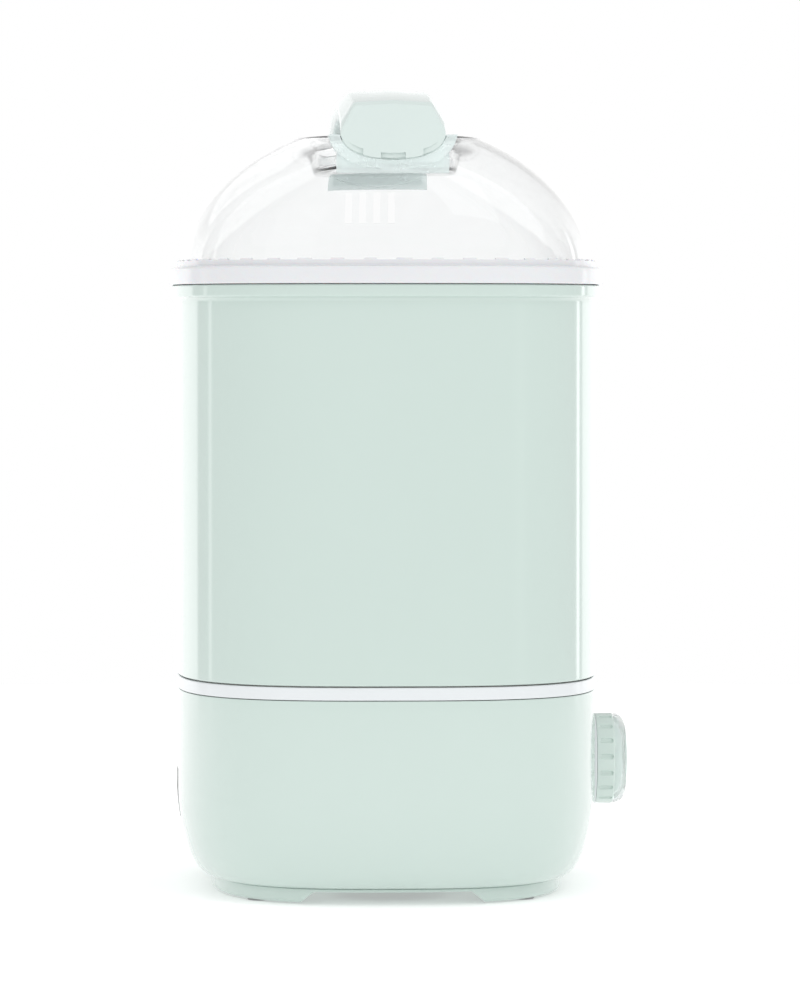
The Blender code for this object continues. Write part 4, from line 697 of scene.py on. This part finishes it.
def wall_panel(name, low_x, high_x, low_z, high_z, side):
    """A curved panel that lies flush in the base wall."""
    levels = tuck_levels(low_z, high_z)
    outer = [(-tuck(z), z) for z in levels]
    inner = [(-tuck(z) - 0.0024, z) for z in reversed(levels)]
    panel = body_loft(name, outer + inner)
    keep = window_box(name + "_limits", low_x, high_x, low_z - 0.001, high_z + 0.001, side)
    return carve(panel, [keep], "INTERSECT")


def build_intake():
    low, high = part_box("filter_cover")
    cover = wall_panel("filter_cover_fine", low.x, high.x, low.z, high.z, 1)
    middle = (low + high) / 2
    slats = []
    count = 7
    for index in range(count):
        z = middle.z + (index - (count - 1) / 2) * 0.0042
        slats.append(((low.x + 0.006, BACK_Y / 2, z - 0.0009), (high.x - 0.006, 2 * BACK_Y, z + 0.0009)))
    grip = (middle.x - 0.009, BACK_Y / 2, low.z - 0.001), (middle.x + 0.009, 2 * BACK_Y, low.z + 0.0016)
    cover = flat_normals(bevel(carve(cover, [boxes("slats", slats), boxes("grip", [grip])]), 0.0003, 2, 50))
    finish_piece(cover, "filter_door", "mint_plastic", MINT, "filter_cover")
    build_filter()


def build_filter():
    """A pleated paper pad in a thin frame."""
    low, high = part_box("hepa_filter")
    edge, pleats = 0.0020, 24
    frame_pad = boxes("filter_frame_fine", [(low, high)])
    hole = (low.x + edge, low.y - CUT, low.z + edge), (high.x - edge, high.y + CUT, high.z - edge)
    window = boxes("filter_hole", [hole])
    finish_piece(bevel(carve(frame_pad, [window]), 0.0003, 2), "filter", "white_plastic", WHITE)

    def fill(bm):
        rows = []
        bottom, top = low.z + edge, high.z - edge
        crest, valley = (high.y - 0.0006, low.y + 0.0016), (high.y - 0.0014 - 0.006, low.y + 0.0006)
        for index in range(2 * pleats + 1):
            x = low.x + edge + (high.x - low.x - 2 * edge) * index / (2 * pleats)
            front, back = crest if index % 2 else valley
            rows.append([(x, front, bottom), (x, front, top), (x, back, top), (x, back, bottom)])
        skin(bm, [[Vector(point) for point in row] for row in rows], False)

    finish_piece(make("hepa_filter_fine", fill, 25), "filter", "filter_paper", PAPER, "hepa_filter")


def build_inlet():
    low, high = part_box("power_inlet")
    middle = (low + high) / 2
    wall = BACK_Y - tuck(low.z) - 0.0012
    face = wall_panel("power_inlet_fine", low.x, high.x, low.z, high.z, 1)
    margin = 0.0020
    body = (low.x + margin, low.y, low.z + margin), (high.x - margin, wall, high.z - margin)
    carve(face, [boxes("inlet_body", [body])], "UNION")
    half_w, half_h, deep = 0.009, 0.005, 0.014
    # The socket is round at its ends, like two joined circles.
    corners = (-half_w, -half_h), (half_w, -half_h), (half_w, half_h), (-half_w, half_h)
    outline = rounded([(middle.x + x, middle.z + z, 0.0046) for x, z in corners])
    depths = high.y - deep, high.y + CUT
    socket = loft("socket", [[Vector((x, y, z)) for x, z in outline] for y in depths], False)
    face = bevel(carve(face, [socket]), 0.0004, 3, 60)
    finish_piece(flat_normals(face), "base", "black_plastic", BLACK, "power_inlet")
    for side, label in ((-1, "left"), (1, "right")):
        start = Vector((middle.x + side * 0.0043, high.y - deep - 0.0005, middle.z))
        pin = rods("inlet_pin_" + label, [(start, start + Vector((0, 0.0105, 0)))], 0.0012)
        finish_piece(bevel(pin, 0.0004, 3), "base", "steel", STEEL)


# ---- knob


def knob_profile_arc(inset, count=9):
    """The rounded front edge from the knob's side to its cap, at a depth into the bezel."""
    points = []
    cap, depth, drop = KNOB_CAP_RADIUS, 0.0063, 0.0006
    for index in range(count):
        angle = math.radians(84 * index / (count - 1))
        radius = cap + (KNOB_RADIUS - cap - inset) * math.cos(angle)
        points.append((radius, KNOB_FRONT - depth + (depth - drop - inset) * math.sin(angle)))
    return points


def build_knob():
    place = Vector((0, FRONT_Y, KNOB_Z))
    base = [(ESCUTCHEON_BORE, GAP, 0), (ESCUTCHEON_RADIUS, GAP, 0.0002)]
    base += [(ESCUTCHEON_RADIUS, ESCUTCHEON_DEPTH, 0.0006), (ESCUTCHEON_BORE, ESCUTCHEON_DEPTH, 0)]
    escutcheon = turned("knob_escutcheon_fine", rounded(base), place, "-Y")
    finish_piece(flat_normals(escutcheon), "base", "white_plastic", WHITE, "knob_escutcheon")
    start, side = 0.0018, KNOB_FRONT - 0.0066
    flange = rounded([(0.004, start, 0), (KNOB_RADIUS, start, 0.0003), (KNOB_RADIUS, side, 0.0004)]
                     + [(KNOB_RADIUS - 0.0018, side, 0)], False)
    top = KNOB_FRONT - 0.0027
    nose = [(radius - GAP, min(depth - GAP, top)) for radius, depth in knob_profile_arc(0.0014)]
    profile = [*flange[1:], *nose, (CENTRE, top), (CENTRE, start)]
    grip = turned("knob_grip_fine", profile, place, "-Y", 136)
    grooves = []
    for index in range(KNOB_RIBS):
        angle = 2 * math.pi * (index + 0.24) / KNOB_RIBS
        out = Vector((math.cos(angle), 0, math.sin(angle)))
        near = place + out * KNOB_GROOVE_OUT - Vector((0, start + 0.0022, 0))
        far = place + out * KNOB_GROOVE_OUT - Vector((0, side - 0.0018, 0))
        grooves.append(groove_cutter("groove_%d" % index, near, far, KNOB_GROOVE_RADIUS))
    bore_ends = place + Vector((0, CUT, 0)), place - Vector((0, start + 0.0085, 0))
    shaft = rods("shaft_bore", [bore_ends], 0.0033)
    carve(grip, [join_all("grooves", grooves), shaft])
    finish_piece(flat_normals(bevel(grip, 0.00015, 2, 50)), "knob", "mint_plastic", KNOB_MINT_PAINTED_LIGHTER, "knob_grip")
    outer, inner = knob_profile_arc(0.0), knob_profile_arc(0.0011)
    lip = [(0.01535, KNOB_FRONT - 0.0006), (0.01535, KNOB_FRONT - 0.0017)]
    bezel = turned("knob_bezel_fine", [*outer, *lip, *reversed(inner)], place, "-Y")
    finish_piece(flat_normals(bezel), "knob", "white_plastic", BEZEL, "knob_bezel")
    crown = [(CENTRE, KNOB_FRONT), (0.005, KNOB_FRONT - 0.00004), (0.010, KNOB_FRONT - 0.0002)]
    edge = [(0.0125, KNOB_FRONT - 0.00035, 0), (KNOB_CAP_RADIUS, KNOB_FRONT - 0.0006, 0.0004)]
    crown += rounded([*edge, (KNOB_CAP_RADIUS, KNOB_FRONT - 0.0024, 0)], False)
    cap = turned("knob_cap_fine", [*crown, (CENTRE, KNOB_FRONT - 0.0024)], place, "-Y", open_ends=True)
    pointer = slot_rings(0.0008, 0.0035, 0, 1, (0, 0, 0))[0]
    mark = []
    for depth in (-CUT, 0.0006):
        mark.append([Vector((p.x, place.y - KNOB_FRONT + depth, KNOB_Z + POINTER_UP + p.y)) for p in pointer])
    carve(cap, [loft("mark", mark, False)])
    finish_piece(flat_normals(cap), "knob", "mint_plastic", KNOB_MINT_PAINTED_LIGHTER, "knob_cap")


def groove_cutter(name, near, far, radius):
    """A round-ended bar that presses one finger groove into the knob."""

    def fill(bm):
        add_rod(bm, near, far, radius, 16)

    bar = make(name, fill)
    ends = []
    for label, spot in (("near", near), ("far", far)):
        ends.append(make(name + label, lambda bm, at=spot: bmesh.ops.create_uvsphere(
            bm, u_segments=16, v_segments=8, radius=radius, matrix=Matrix.Translation(at))))
    return [bar, *ends]


def join_all(name, groups):
    """One cutter mesh from several that don't touch, with each group's own pieces joined first."""
    joined = []
    for first, *rest in groups:
        joined.append(carve(first, rest, "UNION"))
    bm = bmesh.new()
    for obj in joined:
        bm.from_mesh(obj.data)
        bpy.data.objects.remove(obj)
    mesh = bpy.data.meshes.new(name)
    bm.to_mesh(mesh)
    bm.free()
    cutter = bpy.data.objects.new(name, mesh)
    bpy.context.scene.collection.objects.link(cutter)
    return cutter


def build_lens():
    low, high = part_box("indicator_lens")
    lens = wall_panel("indicator_lens_fine", low.x, high.x, low.z, high.z, -1)
    finish_piece(flat_normals(bevel(lens, 0.0003, 2, 50)), "base", "lens_plastic", LENS, "indicator_lens")


# ---- sleeve, rack and tray


def build_sleeve():
    top, bottom = SLEEVE_HIGH.z, SLEEVE_LOW.z
    collar = top - COLLAR_HEIGHT
    ledge = top - LEDGE_DROP
    profile = rounded(
        [
            (0.0, bottom, 0.0006),
            (0.0, collar - 0.0010, 0.0022),
            (COLLAR_OUT, collar + 0.0002, 0.0012),
            (COLLAR_OUT, top, 0.0009),
            (-WALL, top, 0.0008),
            (-WALL, ledge, 0.0004),
            (-WALL - LEDGE_WIDTH, ledge, 0.0004),
            (-WALL - LEDGE_WIDTH, ledge - 0.0020, 0.0006),
            (-WALL, ledge - 0.0050, 0.001),
            (-WALL, bottom, 0.0004),
        ]
    )
    sleeve = flat_normals(body_loft("body_sleeve_fine", profile))
    finish_piece(sleeve, "sleeve", "mint_plastic", MINT, "body_sleeve")


def build_rack():
    floor, top = DECK_TOP + RACK_LIFT, DECK_TOP + RACK_LIFT + RACK_RAIL
    profile = rounded(
        [
            (-RACK_INSET, floor, 0.002),
            (-RACK_INSET, top, 0.0010),
            (-RACK_INSET - RACK_WALL, top, 0.0010),
            (-RACK_INSET - RACK_WALL, floor + RACK_FLOOR, 0.002),
        ]
    )
    rack = body_loft("bottle_rack_fine", profile, False)
    slots = []
    for column in range(4):
        x = (column - 1.5) * 0.038
        for low, high in ((-0.066, -0.050), (-0.028, -0.006), (0.006, 0.028), (0.050, 0.066)):
            for shift in (-0.0045, 0.0045):
                middle = axis_point(x + shift, (low + high) / 2, 0)
                rings = slot_rings(0.0028, (high - low) / 2, floor - CUT, floor + CUT, middle)
                slots.append(loft("rack_slot", rings, False))
    carve(rack, [merged("rack_slots", slots)])
    peg = [(0.0088, 0.001, 0), (0.0088, 0.0026, 0), (0.0062, 0.006, 0.003), (0.0033, 0.0533, 0.0028)]
    peg = rounded([(radius, floor + up, arc) for radius, up, arc in [*peg, (CENTRE, 0.0533, 0)]], False)
    peg.append((CENTRE, floor + 0.001))
    carve(rack, [turned("peg", peg, axis_point(x, y, 0), count=32) for x, y in PEG_PLACES], "UNION")
    feet = rods("rack_feet", uprights(RACK_FOOT_PLACES, RACK_LOW.z, floor + 0.001), 0.0050)
    carve(rack, [feet], "UNION")
    finish_piece(flat_normals(rack), "rack", "white_plastic", WHITE, "bottle_rack")


def merged(name, objects):
    """One cutter from several that don't touch."""
    return join_all(name, [[obj] for obj in objects])


def build_tray():
    bottom, top = TRAY_LOW.z, TRAY_HIGH.z
    flange = HALF_X - TRAY_HIGH.x
    shoulder = flange + 0.0050
    profile = rounded(
        [
            (-shoulder - 0.0020, bottom, 0.003),
            (-shoulder, top - 0.0020, 0.0008),
            (-flange, top - 0.0020, 0.0004),
            (-flange, top, 0.0006),
            (-shoulder - 0.0020, top, 0.0010),
            (-shoulder - 0.0040, bottom + 0.0020, 0.002),
        ]
    )
    tray = body_loft("accessory_tray_fine", profile, False)
    slots = []
    for index in range(11):
        x = (index - 5) * 0.015
        reach = 0.068 * (1 - (abs(x) / 0.125) ** 3) ** (1 / 3)
        for low, high in ((0.004, reach / 2 - 0.002), (reach / 2 + 0.002, reach)):
            for side in (-1, 1):
                middle = axis_point(x, side * (low + high) / 2, 0)
                rings = slot_rings(0.0023, (high - low) / 2, bottom - CUT, bottom + CUT, middle)
                slots.append(loft("slot", rings, False))
    carve(tray, [merged("tray_slots", slots)])
    finish_piece(flat_normals(tray), "tray", "white_plastic", WHITE, "accessory_tray")


# ---- lid


def build_lid_rim():
    skirt_top = LID_BOTTOM + SKIRT_HEIGHT
    skirt_bottom = SLEEVE_HIGH.z + GAP
    neck_top = RIM_HIGH.z
    seat = LID_BOTTOM + 0.0029 - GAP
    profile = rounded(
        [
            (-0.0032, skirt_bottom, 0),
            (SKIRT_OUT, skirt_bottom, 0.0005),
            (SKIRT_OUT, skirt_top, 0.0012),
            (-0.0002, skirt_top + 0.0002, 0.0006),
            (-0.0002, neck_top, 0.0005),
            (-0.0015, neck_top, 0.0003),
            (-0.0015, seat, 0),
            (-0.0049, seat, 0.0004),
            (-0.0049, RIM_LOW.z, 0.0005),
            (-0.0032, RIM_LOW.z, 0.0004),
        ]
    )
    rim = body_loft("lid_rim_fine", profile)
    carve(rim, [neck_notches(neck_top)])
    finish_piece(flat_normals(rim), "lid", "white_plastic", FROSTED, "lid_rim")


def neck_notches(neck_top):
    """Shallow notches along the top of the neck, evenly spaced around the outline."""
    path = [point.copy() for point in plan_ring(HALF_X, HALF_Y, neck_top, count=960)]
    lengths = [0.0]
    for first, second in zip(path, path[1:] + path[:1]):
        lengths.append(lengths[-1] + (second - first).length)
    count = round(lengths[-1] / NECK_NOTCH_PITCH)
    cutters = []
    for index in range(count):
        target = lengths[-1] * (index + 0.3) / count
        at = min(range(len(path)), key=lambda k: abs(lengths[k] - target))
        tangent = (path[(at + 3) % len(path)] - path[at - 3]).normalized()
        out = tangent.cross(Vector((0, 0, 1)))
        spot = path[at]

        def fill(bm, spot=spot, tangent=tangent, out=out):
            matrix = Matrix.Translation(spot) @ Matrix((tangent, out, (0, 0, 1))).transposed().to_4x4()
            bmesh.ops.create_cube(bm, size=1.0, matrix=matrix @ Matrix.Diagonal((*NECK_NOTCH_SIZE, 1.0)))

        cutters.append(make("notch", fill))
    return merged("neck_notches", cutters)


def dome_half_sizes(rise, thickness):
    share_x = max(0.0, rise) / (DOME_RISE_X - thickness)
    share_y = max(0.0, rise) / (DOME_RISE_Y - thickness)
    half_x = (DOME_HALF_X - thickness) * math.sqrt(1 - share_x**DOME_POWER_X)
    half_y = (DOME_HALF_Y - thickness) * math.sqrt(1 - share_y**DOME_POWER_Y)
    return half_x, half_y


def dome_levels(count, top):
    return [top * math.sin(math.pi / 2 * index / (count - 1)) for index in range(count)]


def dome_top_rings(half_x, half_y, level, floor, count):
    """Rings that run from the vault's flat top over a soft edge down into the finger well."""
    rings = []
    drop = level - floor
    for share in (0.0, 0.06, 0.2, 0.5, 0.8, 0.94, 1.0):
        eased = share * share * (3 - 2 * share)
        inset = WELL_SLOPE * share
        rings.append(plan_ring(half_x - inset, half_y - inset, level - drop * eased, WELL_POWER, count))
    return rings


def build_dome():
    count = 160
    base = DOME_LOW.z
    above = base + 0.004
    bead = [(DOME_WALL, above, 0), (DOME_WALL, base, 0.0008), (0.0, base, 0.0008), (0.0, above, 0)]
    bead = rounded(bead, False)[1:-1]
    lower = [plan_ring(DOME_HALF_X - inset, DOME_HALF_Y - inset, z, count=count) for inset, z in bead]
    outer = []
    for rise in dome_levels(26, DOME_RISE):
        outer.append(plan_ring(*dome_half_sizes(rise, 0.0), DOME_START + rise, count=count))
    floor = DOME_TOP - WELL_DEPTH
    outer += dome_top_rings(WELL_HALF_X, WELL_HALF_Y, DOME_TOP, floor, count)
    inner = []
    for rise in dome_levels(22, DOME_RISE - DOME_WALL):
        inner.append(plan_ring(*dome_half_sizes(rise, DOME_WALL), DOME_START + rise, count=count))
    grow = DOME_WALL
    inner += dome_top_rings(WELL_HALF_X + grow, WELL_HALF_Y + grow, DOME_TOP - grow, floor - grow, count)
    dome = loft("lid_dome_fine", [*reversed(inner), *lower, *outer], False, 50)
    cutters = []
    for side in (-1, 1):
        cutters += cradle_solids(side, CRADLE_SEAM)
    slots = []
    low_z = DOME_START + 0.0228
    high_z = low_z + 0.0156
    for index in range(4):
        y = 0.0030 + (index - 1.5) * 0.0072
        low = axis_point(HALF_X - 0.030, y - 0.0017, low_z)
        slots.append((low, axis_point(HALF_X + 0.030, y + 0.0017, high_z)))
    carve(dome, [*cutters, boxes("vents", slots)], degrees=50)
    finish_piece(dome, "lid", "clear_plastic", CLEAR, "lid_dome")
    build_cradle(-1, "left")
    build_cradle(1, "right")


def handle_outline(share, grow=0.0, inset=0.0):
    """The handle's section as (across, height) points, from the middle of its length to an end."""
    top = HANDLE_CREST - HANDLE_END_DROP * share**2 + grow - inset
    depth = HANDLE_MIDDLE_DEPTH + (HANDLE_END_DEPTH - HANDLE_MIDDLE_DEPTH) * share**4 + 2 * grow - 2 * inset
    flat, wide = HANDLE_TOP_HALF + grow - 0.6 * inset, HANDLE_WIDE_HALF + grow - inset
    corners = [(0.0, 0.0004, 0), (flat, -0.0006, 0.0022), (wide, -0.52 * depth, 0.0060)]
    for degrees in (25, 45, 65):
        angle = math.radians(degrees)
        corners.append((wide * math.cos(angle) ** 0.9, -depth * (0.52 + 0.48 * math.sin(angle)), 0.0200))
    corners.append((0.0, -depth, 0))
    half = rounded(corners, False, 4)
    mirrored = [(-y, z) for y, z in reversed(half[1:-1])]
    return [(y, top + z) for y, z in half + mirrored]


def handle_ring(x, share, grow=0.0, lean=0.0, inset=0.0):
    outline = handle_outline(share, grow, inset)
    highest = max(z for _, z in outline)
    side = math.copysign(1.0, x)
    ring = []
    for y, z in outline:
        shift = side * lean * (z - highest + HANDLE_END_DEPTH) / HANDLE_END_DEPTH
        ring.append(axis_point(x - shift, y, z))
    return ring


def build_handle():
    stations = 24
    edge = 0.0009
    rings = []
    for index in range(-stations + 1, stations):
        eased = math.copysign(math.sin(abs(index / stations) * math.pi / 2), index)
        rings.append(handle_ring(eased * HANDLE_HALF_LENGTH * 0.93, abs(eased) * 0.93))
    ends = []
    for degrees in (0, 22, 45, 68, 90):
        angle = math.radians(degrees)
        reach = HANDLE_HALF_LENGTH - edge * (1 - math.sin(angle))
        ends.append((reach, edge * (1 - math.cos(angle))))
    for reach, inset in ends:
        rings.append(handle_ring(reach, 1.0, 0.0, HANDLE_LEAN, inset))
        rings.insert(0, handle_ring(-reach, 1.0, 0.0, HANDLE_LEAN, inset))
    bar = loft("lid_handle_fine", rings, False)
    leg_low, leg_high = leg_limits()
    bottom, top = leg_heights()
    legs = []
    for side in (-1, 1):
        near, far = sorted((side * leg_low, side * leg_high))
        legs.append((axis_point(near, -LEG_HALF_WIDTH, bottom), axis_point(far, LEG_HALF_WIDTH, top)))
    carve(bar, [boxes("legs", legs)], "UNION")
    cuts = []
    for side in (-1, 1):
        near, far = sorted((side * (leg_low - 0.002), side * (leg_high - 0.0012)))
        cuts.append((axis_point(near, -0.0132, bottom - CUT), axis_point(far, 0.0132, top - 0.0075)))
    spans = (-0.0243, -0.0134), (-0.0055, 0.0055), (0.0134, 0.0243)
    lips = [lip_recess(side, low, high) for side in (-1, 1) for low, high in spans]
    carve(bar, [boxes("leg_windows", cuts), merged("lip_recesses", lips)])
    finish_piece(flat_normals(bar), "lid", "mint_plastic", MINT_TOP, "lid_handle")


def lip_recess(side, low_y, high_y):
    """A shallow step along the lower edge of the handle's end."""
    top = HANDLE_CREST - HANDLE_END_DROP
    deep, tall = 0.0014, 0.0030
    count = 8
    upper, lower = [], []
    for index in range(count + 1):
        y = low_y + (high_y - low_y) * index / count
        share = min(0.999, abs(y) / HANDLE_WIDE_HALF)
        z = top - HANDLE_END_DEPTH * (0.52 + 0.48 * math.sqrt(1 - share**2.2))
        upper.append((y, z + tall))
        lower.append((y, z - 0.002))
    outline = upper + lower[::-1]
    face = HANDLE_HALF_LENGTH
    near, far = face - HANDLE_LEAN * 0.12 - deep, face + 0.004
    return loft("lip_recess", [[axis_point(side * x, y, z) for y, z in outline] for x in (near, far)], False)


def leg_limits():
    high = HANDLE_HALF_LENGTH - LEG_SETBACK
    return high - LEG_THICKNESS, high


def leg_heights():
    top = HANDLE_CREST - HANDLE_END_DROP - HANDLE_END_DEPTH / 2
    return top - LEG_DROP, top


def cradle_solids(side, grow=0.0):
    """The lipped cradle for one end of the handle and the socket block under it, as two solids."""
    leg_low, leg_high = leg_limits()
    leg_bottom, _ = leg_heights()
    start, end = HANDLE_HALF_LENGTH - SEAT_LENGTH - grow, HANDLE_HALF_LENGTH - SEAT_END_INSET + grow
    outside = SEAT_CLEARANCE + SEAT_LIP + grow
    lip = loft("lip", [handle_ring(side * x, 1.0, outside) for x in (start, end)], False)
    half = LEG_HALF_WIDTH + GAP + SOCKET_WALL + grow
    wall = GAP + SOCKET_WALL + grow
    near, far = sorted((side * (leg_low - wall), side * (leg_high + wall)))
    low = axis_point(near, -half, leg_bottom - wall)
    block = boxes("block", [(low, axis_point(far, half, DOME_TOP - 0.006 + grow))])
    return lip, block


def build_cradle(side, label):
    leg_low, leg_high = leg_limits()
    leg_bottom, _ = leg_heights()
    start, end = HANDLE_HALF_LENGTH - SEAT_LENGTH, HANDLE_HALF_LENGTH + 0.020
    lip, block = cradle_solids(side)
    carve(lip, [block], "UNION")
    hollow = loft("hollow", [handle_ring(side * x, 1.0, SEAT_CLEARANCE) for x in (start - 0.010, end)], False)
    near, far = sorted((side * (start - 0.012), side * end))
    wide = HANDLE_WIDE_HALF + 2 * SEAT_LIP
    over = boxes("over", [(axis_point(near, -wide, DOME_TOP), axis_point(far, wide, 2 * DOME_TOP))])
    near, far = sorted((side * (leg_low - GAP), side * (leg_high + GAP)))
    width = LEG_HALF_WIDTH + GAP
    low = axis_point(near, -width, leg_bottom - GAP)
    slot = boxes("leg_slot", [(low, axis_point(far, width, 2 * DOME_TOP))])
    near, far = sorted((side * leg_high, side * (leg_high + 0.02)))
    low = axis_point(near, -SNAP_WIDTH / 2, leg_bottom + SNAP_RISE)
    snap = boxes("snap", [(low, axis_point(far, SNAP_WIDTH / 2, leg_bottom + SNAP_RISE + SNAP_HEIGHT))])
    cradle = carve(lip, [hollow, over, slot, snap])
    cradle.name = "lid_cradle_" + label
    finish_piece(bevel(cradle, 0.0003, 2, 50), "lid", "clear_plastic", CRADLE)


# ---- pieces that keep their CAD shape


def dress_cad_nodes():
    """Finishes and softened edges for the pieces inside that keep their CAD shape."""
    looks = {
        "plate_seal": SILICONE,
        "plate_clamp": STEEL,
        "heating_element": ALUMINIUM,
        "thermostat": BLACK,
        "thermal_fuse": MATT_WHITE,
        "fan_housing": BLACK,
        "fan_motor": STEEL,
        "fan_impeller": BLACK,
        "air_duct": WHITE,
        "air_heater": ALUMINIUM,
        "filter_holder": WHITE,
        "control_board": BOARD,
        "rotary_encoder": BLACK,
        "encoder_shaft": STEEL,
        "power_board": BOARD,
    }
    for node, material in looks.items():
        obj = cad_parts[node]
        obj.data.materials.clear()
        obj.data.materials.append(material)
        if node != "heating_element":
            bevel(obj, 0.0002, 2, 50)


# ---- camera, light and floor

CAMERA_PLACE = (-2.680, AXIS_Y + 0.090, 0.257)
CAMERA_TARGET = (0.0, AXIS_Y - 0.0074, 0.1777)
CAMERA_LENS = 207.0
FLOOR_RADIUS = 1.5
# The panels end between these heights of the view, and above them the reflected light is even.
PANEL_LOW, PANEL_HIGH = 0.06, 0.34
OVERHEAD_SHARE = 0.62
DIFFUSE_LOSS = 0.05
GLOSSY_PEAK = 2.4
# Bearing of each panel's edge in degrees, zero along +X and positive towards +Y, and its share of the peak.
GLOSSY_STOPS = (
    (-180, 0.28),
    (-126, 0.28),
    (-118, 0.42),
    (-112, 0.28),
    (-48, 0.27),
    (-46.5, 1.0),
    (-43.5, 1.0),
    (-42, 0.27),
    (-39, 0.27),
    (-37.5, 0.62),
    (-20, 0.54),
    (0, 0.50),
    (20, 0.54),
    (39.5, 0.62),
    (41, 0.26),
    (55, 0.26),
    (56.5, 0.7),
    (58.5, 0.7),
    (60, 0.26),
    (180, 0.28),
)


def build_camera():
    data = bpy.data.cameras.new("Camera")
    data.sensor_width = 36.0
    data.lens = CAMERA_LENS
    data.clip_start, data.clip_end = 0.05, 50.0
    camera = bpy.data.objects.new("Camera", data)
    camera.location = CAMERA_PLACE
    camera.rotation_mode = "QUATERNION"
    camera.rotation_quaternion = (Vector(CAMERA_TARGET) - camera.location).to_track_quat("-Z", "Y")
    bpy.context.scene.collection.objects.link(camera)
    bpy.context.scene.camera = camera


def build_world():
    """A white studio whose reflections vary with their bearing, like panels around a table."""
    world = bpy.data.worlds.new("Studio")
    bpy.context.scene.world = world
    world.use_nodes = True
    nodes, links = world.node_tree.nodes, world.node_tree.links
    background = nodes["Background"]
    path = nodes.new("ShaderNodeLightPath")
    split = nodes.new("ShaderNodeSeparateXYZ")
    links.new(nodes.new("ShaderNodeTexCoord").outputs["Generated"], split.inputs["Vector"])

    bearing = math_node(nodes, links, "ARCTAN2", split.outputs["Y"], split.outputs["X"])
    share = math_node(nodes, links, "MULTIPLY_ADD", bearing, 0.5 / math.pi, 0.5)
    ramp = nodes.new("ShaderNodeValToRGB")
    links.new(share, ramp.inputs["Fac"])
    ramp.color_ramp.interpolation = "LINEAR"
    elements = ramp.color_ramp.elements
    while len(elements) < len(GLOSSY_STOPS):
        elements.new(0.5)
    for element, (degrees, value) in zip(elements, GLOSSY_STOPS):
        element.position = degrees / 360 + 0.5
        element.color = (value, value, value, 1)
    glossy = math_node(nodes, links, "MULTIPLY", ramp.outputs["Color"], GLOSSY_PEAK)
    height = nodes.new("ShaderNodeMapRange")
    height.interpolation_type = "SMOOTHSTEP"
    height.inputs["From Min"].default_value = PANEL_LOW
    height.inputs["From Max"].default_value = PANEL_HIGH
    links.new(split.outputs["Z"], height.inputs["Value"])
    mixed = nodes.new("ShaderNodeMix")
    links.new(height.outputs["Result"], mixed.inputs["Factor"])
    links.new(glossy, mixed.inputs["A"])
    mixed.inputs["B"].default_value = OVERHEAD_SHARE
    is_glossy, is_passed = path.outputs["Is Glossy Ray"], path.outputs["Is Transmission Ray"]
    reflected = math_node(nodes, links, "SUBTRACT", is_glossy, is_passed)
    is_reflected = math_node(nodes, links, "MAXIMUM", reflected, 0.0)
    is_diffuse = path.outputs["Is Diffuse Ray"]
    plain = math_node(nodes, links, "MULTIPLY_ADD", is_diffuse, -DIFFUSE_LOSS, 1.0)
    strength = nodes.new("ShaderNodeMix")
    links.new(is_reflected, strength.inputs["Factor"])
    links.new(plain, strength.inputs["A"])
    links.new(mixed.outputs["Result"], strength.inputs["B"])
    background.inputs["Color"].default_value = (1, 1, 1, 1)
    links.new(strength.outputs["Result"], background.inputs["Strength"])


def area_light(name, place, target, size_x, size_y, power):
    data = bpy.data.lights.new(name, "AREA")
    data.shape = "RECTANGLE"
    data.size, data.size_y = size_x, size_y
    data.energy = power
    lamp = bpy.data.objects.new(name, data)
    lamp.location = place
    lamp.rotation_mode = "QUATERNION"
    lamp.rotation_quaternion = (Vector(target) - Vector(place)).to_track_quat("-Z", "Y")
    lamp.visible_glossy = False
    lamp.visible_camera = False
    bpy.context.scene.collection.objects.link(lamp)


def build_lights():
    middle = axis_point(0, 0, 0.18)
    area_light("Key softbox", (-1.2, -0.9, 1.5), middle, 1.2, 1.2, 5.0)
    area_light("Fill softbox", (-1.4, 1.3, 0.7), middle, 1.4, 1.4, 2.0)
    area_light("Back softbox", (1.5, 0.4, 1.2), middle, 1.4, 1.0, 3.0)


def build_floor():
    def fill(bm):
        bmesh.ops.create_circle(bm, cap_ends=True, segments=96, radius=FLOOR_RADIUS)

    floor = make("studio_floor", fill)
    material = bpy.data.materials.new("Pale floor")
    material.use_nodes = True
    shader = material.node_tree.nodes["Principled BSDF"]
    shader.inputs["Base Color"].default_value = (0.86, 0.86, 0.86, 1)
    shader.inputs["Roughness"].default_value = 0.8
    shader.inputs["Specular IOR Level"].default_value = 0.1
    shader.inputs["Emission Color"].default_value = (1, 1, 1, 1)
    shader.inputs["Emission Strength"].default_value = 0.30
    floor.data.materials.append(material)


# ---- the whole scene

build_camera()
build_world()
build_lights()
build_floor()
bpy.context.scene.view_settings.view_transform = "Standard"

build_housing()
build_bottom_cover()
build_feet_and_screws()
build_trim_ring()
build_deck()
build_plate()
build_outlet_grille()
build_intake()
build_inlet()
build_lens()
build_knob()
build_sleeve()
build_rack()
build_tray()
build_lid_rim()
build_dome()
build_handle()
dress_cad_nodes()
